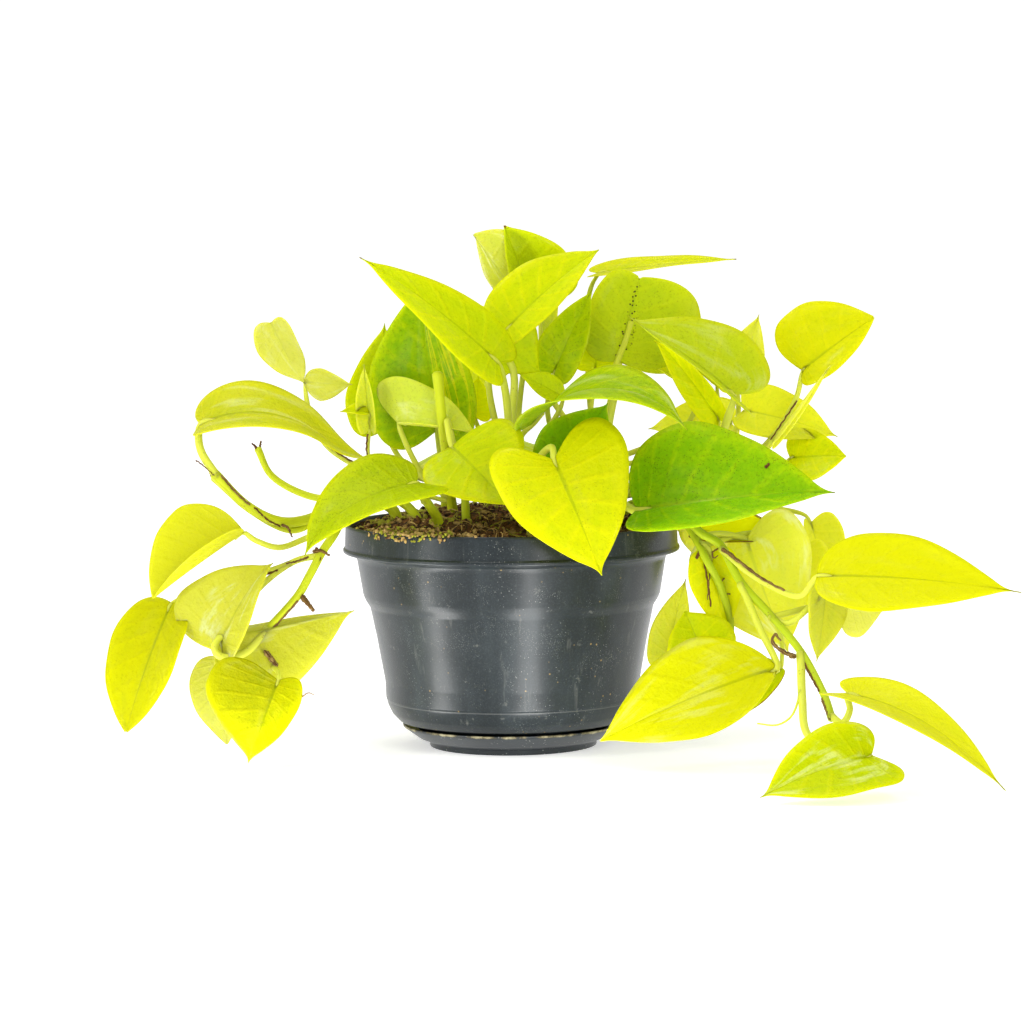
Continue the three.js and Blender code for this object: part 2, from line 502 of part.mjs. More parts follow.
// A round rod along a smooth curve through its points, closed at both ends.
function tube(path, radius, sides, step, grow = 0) {
  const curve = new THREE.CatmullRomCurve3(path.map((p) => new THREE.Vector3(...p)), false, 'catmullrom');
  const steps = Math.max(2, Math.round(curve.getLength() / step));
  const frames = curve.computeFrenetFrames(steps, false);
  const points = [];
  const triangles = [];
  for (let i = 0; i <= steps; i++) {
    const centre = curve.getPointAt(i / steps);
    const reach = THREE.MathUtils.lerp(radius[0], radius[1], i / steps) + grow;
    for (let j = 0; j < sides; j++) {
      const angle = (2 * Math.PI * j) / sides;
      const out = frames.normals[i].clone().multiplyScalar(Math.cos(angle) * reach);
      out.addScaledVector(frames.binormals[i], Math.sin(angle) * reach);
      points.push(centre.clone().add(out));
    }
  }
  for (let i = 0; i < steps; i++) {
    for (let j = 0; j < sides; j++) {
      const [a, b] = [i * sides + j, i * sides + ((j + 1) % sides)];
      triangles.push(a, b, a + sides, b, b + sides, a + sides);
    }
  }
  const last = steps * sides;
  for (let j = 1; j < sides - 1; j++) {
    triangles.push(0, j + 1, j, last, last + j, last + j + 1);
  }
  return toSolid(fromGrid(points, triangles));
}

// The midrib: its heading turns evenly through `arch`, and through `hook` near the tip. Gives
// places along and across the chord for a blade of length 1, and the heading, at each step.
function spine({ arch, hook }) {
  const heading = (share) => {
    const late = THREE.MathUtils.smoothstep(share, 0.6, 1);
    return THREE.MathUtils.degToRad(arch * (0.5 - share) - hook * late);
  };
  const steps = [new THREE.Vector3(0, 0, heading(0))];
  for (let i = 1; i <= SPINE_STEPS; i++) {
    const before = steps[i - 1];
    const turn = heading(i / SPINE_STEPS);
    const along = before.x + (Math.cos(before.z) + Math.cos(turn)) / 2 / SPINE_STEPS;
    const across = before.y + (Math.sin(before.z) + Math.sin(turn)) / 2 / SPINE_STEPS;
    steps.push(new THREE.Vector3(along, across, turn));
  }
  const end = steps[SPINE_STEPS];
  const [length, tilt] = [Math.hypot(end.x, end.y), Math.atan2(end.y, end.x)];
  return steps.map((step) => {
    const place = new THREE.Vector2(step.x, step.y).rotateAround(new THREE.Vector2(), -tilt);
    return new THREE.Vector3(place.x / length, place.y / length, step.z - tilt);
  });
}

function alongSpine(steps, share) {
  const place = THREE.MathUtils.clamp(share, 0, 1) * SPINE_STEPS;
  const before = Math.min(Math.floor(place), SPINE_STEPS - 1);
  return steps[before].clone().lerp(steps[before + 1], place - before);
}

// One point of the blade's middle surface. `u` runs from the base to the tip, and `v` from the
// left margin at -1, over the midrib at 0, to the right margin at 1.
function bladePoint(row, frame, u, v) {
  const side = v < 0 ? 0 : 1;
  const out = Math.abs(v);
  const marginAlong = u - 3 * row.lobe * u * (1 - u) ** 3;
  const marginOut = 1.03 * Math.sin(Math.PI * u ** 0.86) * (1 - row.point * u ** 4);
  const ribAlong = u ** 2.4;
  const along = ribAlong + (marginAlong - ribAlong) * out ** 1.25;
  const half = row.width[side] / 2;
  const fold = THREE.MathUtils.degToRad(pair(row.fold)[side]);
  const cup = THREE.MathUtils.degToRad(pair(row.cup)[side]) || 1e-4;
  const reach = marginOut * out;
  const across = ((half / cup) * (Math.sin(fold + cup * reach) - Math.sin(fold))) * Math.sign(v);
  const rise = -(half / cup) * (Math.cos(fold + cup * reach) - Math.cos(fold));
  const place = alongSpine(frame.steps, along);
  const behind = Math.min(along, 0);
  const x = (place.x + behind * Math.cos(place.z)) * frame.length;
  const y = (place.y + behind * Math.sin(place.z)) * frame.length;
  const turn = THREE.MathUtils.degToRad(row.twist) * along;
  const normal = frame.chord.clone().multiplyScalar(-Math.sin(place.z));
  normal.addScaledVector(frame.face, Math.cos(place.z));
  const sideways = frame.side.clone().multiplyScalar(Math.cos(turn)).addScaledVector(normal, Math.sin(turn));
  const up = frame.side.clone().multiplyScalar(-Math.sin(turn)).addScaledVector(normal, Math.cos(turn));
  return frame.base.clone().addScaledVector(frame.chord, x).addScaledVector(frame.face, y)
    .addScaledVector(sideways, across).addScaledVector(up, rise);
}

function bladeFrame(row) {
  const base = new THREE.Vector3(...row.base);
  const chord = new THREE.Vector3(...row.tip).sub(base);
  const length = chord.length();
  chord.normalize();
  const face = new THREE.Vector3(...row.face);
  face.addScaledVector(chord, -face.dot(chord)).normalize();
  return { base, chord, face, length, side: chord.clone().cross(face), steps: spine(row) };
}

// A leaf blade: the surface above at two heights, half the thickness over and under it, with
// the same triangles on both, joined round the margin. The base and the tip are single points.
function blade(row) {
  const frame = bladeFrame(row);
  const rows = BLADE_ROWS + (frame.length > LONG_BLADE ? 1 : 0);
  const columns = frame.length < SMALL_BLADE ? SMALL_COLUMNS : BLADE_COLUMNS;
  const count = columns.length;
  const middle = [];
  for (let i = 0; i <= rows; i++) {
    for (const v of columns) middle.push(bladePoint(row, frame, i / rows, v));
  }
  const index = (i, j) => i * count + (i === 0 || i === rows ? 0 : j);
  const faces = [];
  const addFace = (a, b, c) => {
    if (a !== b && b !== c && c !== a) faces.push([a, b, c]);
  };
  for (let i = 0; i < rows; i++) {
    for (let j = 0; j < count - 1; j++) {
      addFace(index(i, j), index(i + 1, j + 1), index(i + 1, j));
      addFace(index(i, j), index(i, j + 1), index(i + 1, j + 1));
    }
  }
  const normals = middle.map(() => new THREE.Vector3());
  for (const [a, b, c] of faces) {
    const corner = new THREE.Triangle(middle[a], middle[b], middle[c]);
    const facing = corner.getNormal(new THREE.Vector3());
    for (const k of [a, b, c]) normals[k].add(facing);
  }
  normals.forEach((normal) => normal.normalize());
  const points = [1, -1].flatMap((way) =>
    middle.map((point, k) => point.clone().addScaledVector(normals[k], (way * BLADE) / 2)));
  const under = middle.length;
  const triangles = faces.flatMap(([a, b, c]) => [a, b, c, a + under, c + under, b + under]);
  for (let i = 0; i < rows; i++) {
    for (const [edge, from, to] of [[0, i, i + 1], [count - 1, i + 1, i]]) {
      const [a, b] = [index(from, edge), index(to, edge)];
      triangles.push(a, b, a + under, b, b + under, a + under);
    }
  }
  return toSolid(fromGrid(points, triangles));
}

function stalk(row) {
  if (row.path.length === 0) return [];
  const frame = bladeFrame(row);
  const root = bladePoint(row, frame, ROOT ** (1 / 2.4), 0).toArray();
  return [tube([...row.path, row.base, root], row.radius, STALK_SIDES, STALK_STEP)];
}

// A plain hole in the soil round the foot of each stem, a little wider and deeper than it.
function footHoles({ stems }) {
  const feet = stems.filter((stem) => stem.path[0][2] < SOIL_EDGE_HEIGHT - SOIL_BUMP);
  const clear = 1.5 * GAP;
  const wide = feet.map(({ path, radius }) => tube(path, radius, STEM_SIDES, STEM_STEP, clear));
  return [...wide, ...wide.map((hole) => hole.translate([0, 0, -clear]))];
}

function vine({ stems, leaves }) {
  const pieces = stems.map((stem) => tube(stem.path, stem.radius, STEM_SIDES, STEM_STEP));
  for (const row of leaves) pieces.push(blade(row), ...stalk(row));
  return tidied(wasm.Manifold.union(pieces));
}

// ---- The plant ---------------------------------------------------------------------------

const plastic = { roughness: 0.42, metalness: 0 };
const foliage = { roughness: 0.5, metalness: 0 };

function piece(name, geometry, color, finish) {
  const mesh = new THREE.Mesh(geometry, new THREE.MeshStandardMaterial({ color, ...finish }));
  mesh.name = name;
  return mesh;
}

const plant = new THREE.Group();
plant.add(piece('saucer', toGeometry(toSolid(saucer())), 0x3f4850, plastic));
plant.add(piece('pot', pot(), 0x434d57, plastic));

const mound = tidied(soil().subtract(wasm.Manifold.union(VINES.flatMap(footHoles))));
plant.add(piece('soil', toGeometry(mound), 0x5a3c19, { roughness: 1, metalness: 0 }));

for (const row of VINES) {
  plant.add(piece(row.name, toGeometry(vine(row)), 0xc3d616, foliage));
}

export default plant;
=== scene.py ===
# %% [markdown]
# # A golden pothos in a hanging pot
# The plant grows from a dark plastic pot with a clip-on saucer. Its leafy stems rise into a
# crown, arch over the rim and trail down on both sides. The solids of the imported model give
# every stem, leaf and wall its place. This lesson dresses each of them in a finer surface,
# worked out with numpy from the same curves, and gives it a procedural finish.

# %% Load the frame
import math

import bpy
import numpy as np
from mathutils import Matrix, Vector


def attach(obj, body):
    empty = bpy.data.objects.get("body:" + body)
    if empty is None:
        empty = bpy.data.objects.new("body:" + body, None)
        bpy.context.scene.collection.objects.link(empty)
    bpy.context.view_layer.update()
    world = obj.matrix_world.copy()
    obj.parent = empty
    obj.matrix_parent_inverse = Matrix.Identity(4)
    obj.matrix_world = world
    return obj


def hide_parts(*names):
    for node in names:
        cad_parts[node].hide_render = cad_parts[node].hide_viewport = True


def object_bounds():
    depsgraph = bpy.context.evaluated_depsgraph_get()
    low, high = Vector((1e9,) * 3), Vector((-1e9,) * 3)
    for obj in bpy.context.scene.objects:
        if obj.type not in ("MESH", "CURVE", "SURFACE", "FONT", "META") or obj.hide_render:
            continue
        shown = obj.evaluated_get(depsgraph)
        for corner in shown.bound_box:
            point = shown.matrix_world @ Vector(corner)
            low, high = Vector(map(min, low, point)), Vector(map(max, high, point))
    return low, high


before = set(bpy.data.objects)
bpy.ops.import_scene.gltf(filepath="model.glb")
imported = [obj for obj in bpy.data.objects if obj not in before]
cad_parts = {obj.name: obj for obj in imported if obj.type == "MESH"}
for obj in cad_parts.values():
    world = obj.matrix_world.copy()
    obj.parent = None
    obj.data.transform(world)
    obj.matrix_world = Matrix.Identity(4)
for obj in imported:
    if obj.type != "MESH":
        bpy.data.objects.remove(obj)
cad_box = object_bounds()
MM = 0.001  # every shape below is worked out in millimetres
print("nodes of the frame:", len(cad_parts))

# %% [markdown]
# ## The camera
# The photograph was taken from about two metres with a long lens, a little above the plant and
# looking slightly down. A long lens keeps the pot's rim a flat ellipse. The picture leans by
# half a degree, so the camera is rolled by the same amount about the way it looks.

# %% Place the camera
CAMERA_PLACE = (0, -2.0, 0.285)
CAMERA_DOWN, CAMERA_ROLL = math.radians(5.126), math.radians(-0.6)
FILM = 36.0  # the film's width and, below it, the lens's focal length, in millimetres
FOCUS = FILM * 4447 / 1024


def add_object(name, data):
    made = bpy.data.objects.new(name, data)
    bpy.context.scene.collection.objects.link(made)
    return made


def make_camera():
    """A camera behind the -Y side, turned up from looking down, and then about its own axis."""
    lens = bpy.data.cameras.new("camera")
    lens.sensor_width, lens.lens, lens.shift_x = FILM, FOCUS, 0.001
    lens.clip_start, lens.clip_end = 0.1, 50.0
    camera = add_object("camera", lens)
    tilt = Matrix.Rotation(math.pi / 2 - CAMERA_DOWN, 4, "X")
    roll = Matrix.Rotation(CAMERA_ROLL, 4, "Z")
    camera.matrix_world = Matrix.Translation(CAMERA_PLACE) @ tilt @ roll
    bpy.context.scene.camera = camera
    return camera


camera = make_camera()
print("lens:", round(camera.data.lens, 1), "mm")

# %% [markdown]
# ## The studio
# A wide white sweep and big soft lamps give the even light of a catalogue picture. The floor
# stays plain. The view transform is Standard, so that a yellow leaf keeps its full colour.
# The pot's wall leans out, so it mirrors the table close by. Two narrow strips that lie there,
# facing up, draw the two soft upright shines on its wall.

# %% Floor, backdrop and lamps
FLOOR_CORNERS = [(-9, -9, 0), (9, -9, 0), (9, 9, 0), (-9, 9, 0)]
FLOOR_LOOK = {"Base Color": (0.9, 0.9, 0.9, 1), "Roughness": 0.9, "Specular IOR Level": 0.1,
              "Emission Color": (1, 1, 1, 1), "Emission Strength": 0.52}  # lit from below
SKY_SEEN, SKY_LIGHT = 1.1, 0.62  # the backdrop's brightness, and how much light it gives
AIM = (0, 0, 0.12)
LAMPS = {  # where each soft lamp hangs, its size and its power
    "left strip": ((-1.27, -0.8, 0.72), (0.3, 1.4), 12),
    "right strip": ((0.52, -1.42, 0.66), (0.2, 1.3), 9),
    "top lamp": ((-0.3, 0.1, 1.6), (1.0, 0.8), 9.5)}
TABLE_STRIPS = [(-0.155, -0.095, -70), (0.038, -0.175, 15)]  # where each lies, and its heading
STRIP_HEIGHT, STRIP_SIZE, STRIP_POWER = 0.003, (0.032, 0.2), 0.2


def make_floor():
    """One flat square under the saucer."""
    mesh = bpy.data.meshes.new("floor")
    mesh.from_pydata(FLOOR_CORNERS, [], [(0, 1, 2, 3)])
    material = bpy.data.materials.new("studio floor")
    material.use_nodes = True
    for socket, number in FLOOR_LOOK.items():
        material.node_tree.nodes["Principled BSDF"].inputs[socket].default_value = number
    mesh.materials.append(material)
    add_object("floor", mesh)


def make_lamp(name, place, size, power, aim=AIM):
    """A rectangular lamp at a place, turned to look at its aim. The camera doesn't see it."""
    data = bpy.data.lights.new(name, "AREA")
    data.shape, data.energy = "RECTANGLE", power
    data.size, data.size_y = size
    lamp = add_object(name, data)
    look = (Vector(aim) - Vector(place)).to_track_quat("-Z", "Y").to_matrix().to_4x4()
    lamp.matrix_world = Matrix.Translation(place) @ look
    lamp.visible_camera = False
    return lamp


def make_studio():
    scene = bpy.context.scene
    scene.view_settings.view_transform = "Standard"
    scene.world = bpy.data.worlds.new("studio")
    scene.world.use_nodes = True
    nodes, links = scene.world.node_tree.nodes, scene.world.node_tree.links
    nodes["Background"].inputs["Color"].default_value = (1, 1, 1, 1)
    ray, sky = nodes.new("ShaderNodeLightPath"), nodes.new("ShaderNodeMapRange")
    links.new(ray.outputs["Is Camera Ray"], sky.inputs["Value"])
    sky.inputs["To Min"].default_value, sky.inputs["To Max"].default_value = SKY_LIGHT, SKY_SEEN
    links.new(sky.outputs["Result"], nodes["Background"].inputs["Strength"])
    for name, row in LAMPS.items():
        make_lamp(name, *row)
    for number, (x, y, heading) in enumerate(TABLE_STRIPS):
        strip = make_lamp(f"table strip {number}", (x, y, STRIP_HEIGHT), STRIP_SIZE, STRIP_POWER)
        strip.rotation_euler = (math.pi, 0, math.radians(heading))


make_floor()
make_studio()
print("lamps:", len(bpy.data.lights))

# %% [markdown]
# ## Surfaces as arrays
# A leaf, a stem or a pot wall is a function of two parameters on a grid. Its points are worked
# out as one array, and its faces join neighbours on the grid. A `Skin` gathers many such
# surfaces into one mesh, and keeps a few values at each point for the finish to read: the
# place on the blade, the leaf's tone, its marks, and the light and shade painted on it.

# %% Grids and shells
# The values at each point, four to a layer. Tone: green, pale, dry, and the leaf's own lot.
# Marks: underside, specks, painted glint streaks. Shade: painted shade and light, painted sheen.
LAYERS = {"tone": 2, "marks": 6, "shade": 10}  # each with its first column; u and v come first
NOTHING = (0, 0, 0, 0)


def grid_faces(rows, columns, ring=False):
    """Two triangles for each cell of a grid, wound so that right, then up, faces the reader."""
    index = np.arange(rows * columns).reshape(rows, columns)
    if ring:
        index = np.concatenate([index, index[:, :1]], axis=1)
    a, b = index[:-1, :-1].ravel(), index[:-1, 1:].ravel()
    c, d = index[1:, 1:].ravel(), index[1:, :-1].ravel()
    return np.concatenate([np.stack([a, b, c], 1), np.stack([a, c, d], 1)])


def unit(vectors):
    return vectors / np.maximum(np.linalg.norm(vectors, axis=-1, keepdims=True), 1e-12)


def grid_normals(grid):
    """The way each point of a grid faces: the step across it, crossed with the step along it."""
    return unit(np.cross(np.gradient(grid, axis=1), np.gradient(grid, axis=0)))


def shell(top, bottom):
    """Two grids, one over the other, joined round their edge into a closed sheet."""
    rows, columns = top.shape[:2]
    index = np.arange(rows * columns).reshape(rows, columns)
    rim = np.concatenate([index[0, :-1], index[:-1, -1], index[-1, :0:-1], index[:0:-1, 0]])
    after, under = np.roll(rim, -1), rows * columns
    faces = grid_faces(rows, columns)
    sides = [(after, rim, rim + under), (after, rim + under, after + under)]
    points = np.concatenate([top.reshape(-1, 3), bottom.reshape(-1, 3)])
    sides = [np.stack(side, 1) for side in sides]
    return points, np.concatenate([faces, faces[:, ::-1] + under, *sides])


# %% Skins
class Skin:
    """Surfaces gathered into one mesh, each with its finish and its values at every point."""

    def __init__(self):
        self.points, self.faces, self.finish, self.values = [], [], [], []
        self.count = 0

    def add(self, points, faces, finish=0, place=(0, 0), tone=NOTHING, marks=NOTHING,
            shade=NOTHING):
        points = np.asarray(points, float).reshape(-1, 3)
        values = [np.broadcast_to(value, (len(points), np.shape(value)[-1]))
                  for value in (place, tone, marks, shade)]
        self.points.append(points)
        self.faces.append(faces + self.count)
        self.finish.append(np.full(len(faces), finish))
        self.values.append(np.concatenate(values, axis=1))
        self.count += len(points)

    def make(self, name, node, slot, finishes, smooth=True):
        """One object at the origin, in metres, that stands for a node and rides with the root."""
        faces, values = np.concatenate(self.faces), np.concatenate(self.values)
        mesh = bpy.data.meshes.new(name)
        mesh.from_pydata(np.concatenate(self.points) * MM, [], faces)
        mesh.polygons.foreach_set("material_index", np.concatenate(self.finish).astype(np.int32))
        mesh.polygons.foreach_set("use_smooth", np.full(len(faces), smooth))
        layer = mesh.uv_layers.new(name="blade")
        layer.data.foreach_set("uv", values[faces.ravel(), :2].astype(np.float32).ravel())
        for attribute, start in LAYERS.items():
            layer = mesh.color_attributes.new(attribute, "FLOAT_COLOR", "POINT")
            layer.data.foreach_set("color", values[:, start:start + 4].astype(np.float32).ravel())
        for finish in finishes:
            mesh.materials.append(finish)
        mesh.update()
        piece = add_object(name, mesh)
        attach(piece, "root")
        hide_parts(node)
        return piece


# %% Turned shapes
def lathe(profile, sides):
    """A profile of (radius, height) turned about Z."""
    profile = np.asarray(profile, float)
    angle = np.linspace(0, 2 * np.pi, sides, endpoint=False)
    grid = np.empty((len(profile), sides, 3))
    grid[..., :2] = profile[:, None, :1] * np.stack([np.cos(angle), np.sin(angle)], 1)
    grid[..., 2] = profile[:, None, 1]
    return grid, grid_faces(len(profile), sides, ring=True)


def weld(points, faces):
    """Points that coincide become one, and faces that lose a corner by it are left out."""
    kept, index = np.unique(np.round(points.reshape(-1, 3), 5), axis=0, return_inverse=True)
    faces = index.ravel()[faces]
    return kept, faces[(faces != np.roll(faces, 1, axis=1)).all(axis=1)]

# %% [markdown]
# ## Sums on a surface
# A finish is arithmetic on patterns. `Value` wraps one output of a node, so that `1 - mask` or
# `veins * 0.3` adds the Math nodes for it. `Finish` is a material whose other nodes all come
# from one method.

# %% A small language for shaders
def sum_of(operation, order=1):
    """A method that adds one Math node; order -1 swaps its two numbers."""
    def method(*numbers):
        inputs = dict(enumerate(numbers[::order]))
        return numbers[0].finish.node("Math", {"operation": operation}, inputs)
    return method


class Value:
    """A number that changes over a surface, or a colour, and the sums made from it."""

    __add__ = __radd__ = sum_of("ADD")
    __mul__ = __rmul__ = sum_of("MULTIPLY")
    __sub__, __rsub__ = sum_of("SUBTRACT"), sum_of("SUBTRACT", -1)
    __pow__, size, fraction = sum_of("POWER"), sum_of("ABSOLUTE"), sum_of("FRACT")

    def __init__(self, finish, socket):
        self.finish, self.socket = finish, socket

    def between(self, low, high):
        """0 below low, 1 above high, and a smooth rise from one to the other."""
        return self.finish.node("MapRange", {"interpolation_type": "SMOOTHSTEP"},
                                {"Value": self, "From Min": low, "From Max": high})


# %% A material and its patterns
class Finish:
    """A material, its shader, and the method that makes every other node."""

    def __init__(self, name, **constants):
        self.material = bpy.data.materials.new(name)
        self.material.use_nodes = True
        self.tree = self.material.node_tree
        self.shader = self.tree.nodes["Principled BSDF"]
        self.wear(**constants)
        self.where = self.node("TexCoord", output="Object")

    def node(self, kind, settings=(), inputs=(), output=0):
        made = self.tree.nodes.new("ShaderNode" + kind)
        for key, setting in dict(settings).items():
            setattr(made, key, setting)
        for key, number in dict(inputs).items():
            self.feed(made.inputs[key], number)
        return Value(self, made.outputs[output])

    def feed(self, socket, number):
        if isinstance(number, Value):
            self.tree.links.new(number.socket, socket)
        else:
            socket.default_value = number

    def wear(self, **sockets):
        for socket, number in sockets.items():
            self.feed(self.shader.inputs[socket.replace("_", " ")], number)

    def parts(self, value, kind="SeparateXYZ"):
        first = self.node(kind, {}, {0: value})
        return [Value(self, socket) for socket in first.socket.node.outputs[:3]]

    def attribute(self, name):
        """The three colours and the alpha of a colour attribute, as four numbers."""
        colour = self.node("Attribute", {"attribute_name": name}, output="Color")
        alpha = Value(self, colour.socket.node.outputs["Alpha"])
        return [*self.parts(colour, "SeparateColor"), alpha]

    def blade(self):
        """The place on the blade: u from its base to its tip, and v from margin to margin."""
        return self.parts(self.node("UVMap", {"uv_map": "blade"}))[:2]

    def noise(self, scale, detail=3, roughness=0.5, place=None):
        inputs = {"Vector": place or self.where, "Scale": scale, "Detail": detail}
        return self.node("TexNoise", {}, {**inputs, "Roughness": roughness})

    def stretched(self, scale):
        return self.node("Mapping", {}, {"Vector": self.where, "Scale": scale})

    def along(self, u, v, lot):
        """A place on the blade, set apart from the other leaves by the lot of this one."""
        return self.node("CombineXYZ", {}, {0: u, 1: v, 2: lot})

    def cells(self, scale, feature="F1"):
        inputs = {"Vector": self.where, "Scale": scale}
        return self.node("TexVoronoi", {"feature": feature}, inputs)

    def grains(self, scale, edge, patches, within):
        """Round grains, one in each cell, kept to the patches of a coarser noise."""
        return (1 - self.cells(scale)).between(*edge) * self.noise(*patches).between(*within)

    def scaled(self, colour, share):
        """A colour made darker or brighter by a share."""
        return self.node("VectorMath", {"operation": "SCALE"}, {0: colour, "Scale": share})

    def coats(self, colour, *layers):
        """A colour under coats of other colours, each laid on by its share."""
        for share, coat in layers:
            pair = [c if isinstance(c, Value) else (*c, 1) for c in (colour, coat)]
            colour = self.node("Mix", {"data_type": "RGBA"}, {0: share, 6: pair[0], 7: pair[1]}, 2)
        return colour

    def bump(self, *layers):
        """Heights as shares of a millimetre, each with its strength, one node after another."""
        normal = {}
        for height, strength in layers:
            inputs = {"Height": height, "Strength": strength, "Distance": MM, **normal}
            normal = {"Normal": self.node("Bump", {}, inputs)}
        self.wear(**normal)


# %% [markdown]
# ## Pot plastic
# The pot is moulded in slate grey plastic with a soft shine. Water and handling have left
# pale specks of dust, a few ochre flecks of soil and faint streaks down the wall. The saucer's
# rim carries a chalky line where hard water has dried.

# %% Finish for the pot
SLATE, SLATE_FILM, LIMESCALE = (0.005, 0.009, 0.011), (0.034, 0.045, 0.05), (0.3, 0.3, 0.26)
POT_DUST, OCHRE, SEAM = (0.4, 0.41, 0.38), (0.3, 0.2, 0.06), (0.16, 0.165, 0.16)
SEAM_HEIGHT, SEAM_WIDTH = 0.0213, 0.0004


def pot_finish():
    finish = Finish("slate plastic", Specular_IOR_Level=0.22, Coat_Weight=0.3, Coat_Roughness=0.24)
    height = finish.parts(finish.where)[2]
    grain = finish.noise(1300, 3, 0.7)
    streak = finish.noise(60, 3, 0.55, finish.stretched((1, 1, 0.12)))
    film = streak.between(0.42, 0.75) * 0.35 + grain.between(0.45, 0.7) * 0.3
    film = film + finish.noise(28, 4, 0.6).between(0.4, 0.7) * 0.25
    dust = finish.grains(760, (0.8, 0.95), (90, 2), (0.42, 0.6))
    dust = dust * (finish.noise(19, 4, 0.6).between(0.42, 0.6) * 0.8 + 0.2)
    flakes = finish.grains(1500, (0.72, 0.9), (60, 4, 0.7), (0.5, 0.62))
    crumbs = finish.grains(230, (0.87, 0.95), (45, 2), (0.5, 0.58))
    smear = finish.noise(150, 5, 0.75).between(0.6, 0.72)
    drip = finish.noise(240, 3, 0.6, finish.stretched((1, 1, 0.06))).between(0.62, 0.72)
    seam = 1 - ((height - SEAM_HEIGHT) * (1 / SEAM_WIDTH)).size().between(0.1, 1.0)
    colour = finish.coats(SLATE, (film, SLATE_FILM), (smear * 0.22 + drip * 0.1, LIMESCALE),
                          (dust * 0.6 + flakes * 0.3, POT_DUST), (crumbs * 0.8, OCHRE),
                          (seam * 0.35, SEAM))
    finish.wear(Base_Color=colour, Roughness=film * 0.2 + dust * 0.3 + 0.33)
    finish.bump((grain, 0.08), (finish.noise(35, 2), 0.25))
    return finish.material


# %% Finish for the saucer
DISH, DISH_FILM, DISH_DUST = (0.009, 0.013, 0.016), (0.038, 0.048, 0.053), (0.45, 0.45, 0.42)
CHALK_DIM, CHALK_BRIGHT = (0.2, 0.16, 0.07), (0.55, 0.5, 0.3)


def saucer_finish():
    finish = Finish("saucer plastic", Specular_IOR_Level=0.3, Coat_Weight=0.3, Coat_Roughness=0.2)
    height = finish.parts(finish.where)[2]
    ragged = finish.noise(140, 4, 0.65)
    chalk = (height + ragged * 0.002).between(0.0099, 0.0106) * ragged.between(0.37, 0.53)
    dust = finish.grains(520, (0.8, 0.93), (80, 2), (0.42, 0.6))
    lime = finish.coats(CHALK_DIM, (ragged.between(0.45, 0.65), CHALK_BRIGHT))
    colour = finish.coats(DISH, (finish.noise(50, 3), DISH_FILM), (dust * 0.6, DISH_DUST),
                          (chalk * 0.8, lime))
    finish.wear(Base_Color=colour, Roughness=chalk * 0.4 + 0.36)
    finish.bump((finish.noise(1100, 2), 0.05), (chalk, 0.2))
    return finish.material


# %% [markdown]
# ## Leaf, stem and dry skin
# A pothos leaf is waxy. Its lamina swells a little between the side veins, so its shine breaks
# into bands. The young leaves are clear yellow, the older ones greener, and the underside is
# paler and duller. The values at each point say how green, how pale and how brown a leaf is.
# Sheen and glint streaks are also painted into the colour, and each leaf is painted darker or
# brighter by a share, as painted shade and light.

# %% Finish for the leaves
YELLOW, LIME, GREEN = (0.57, 0.57, 0.001), (0.37, 0.46, 0.001), (0.10, 0.26, 0.001)
FLASH, RIB, SPECK = (0.42, 0.44, 0.006), (0.22, 0.3, 0.003), (0.02, 0.016, 0.006)
PALE, SHEEN, DRY = (0.62, 0.63, 0.16), (0.72, 0.76, 0.42), (0.11, 0.04, 0.008)
SIDE_VEINS, VEIN_SWEEP = 9, 0.8


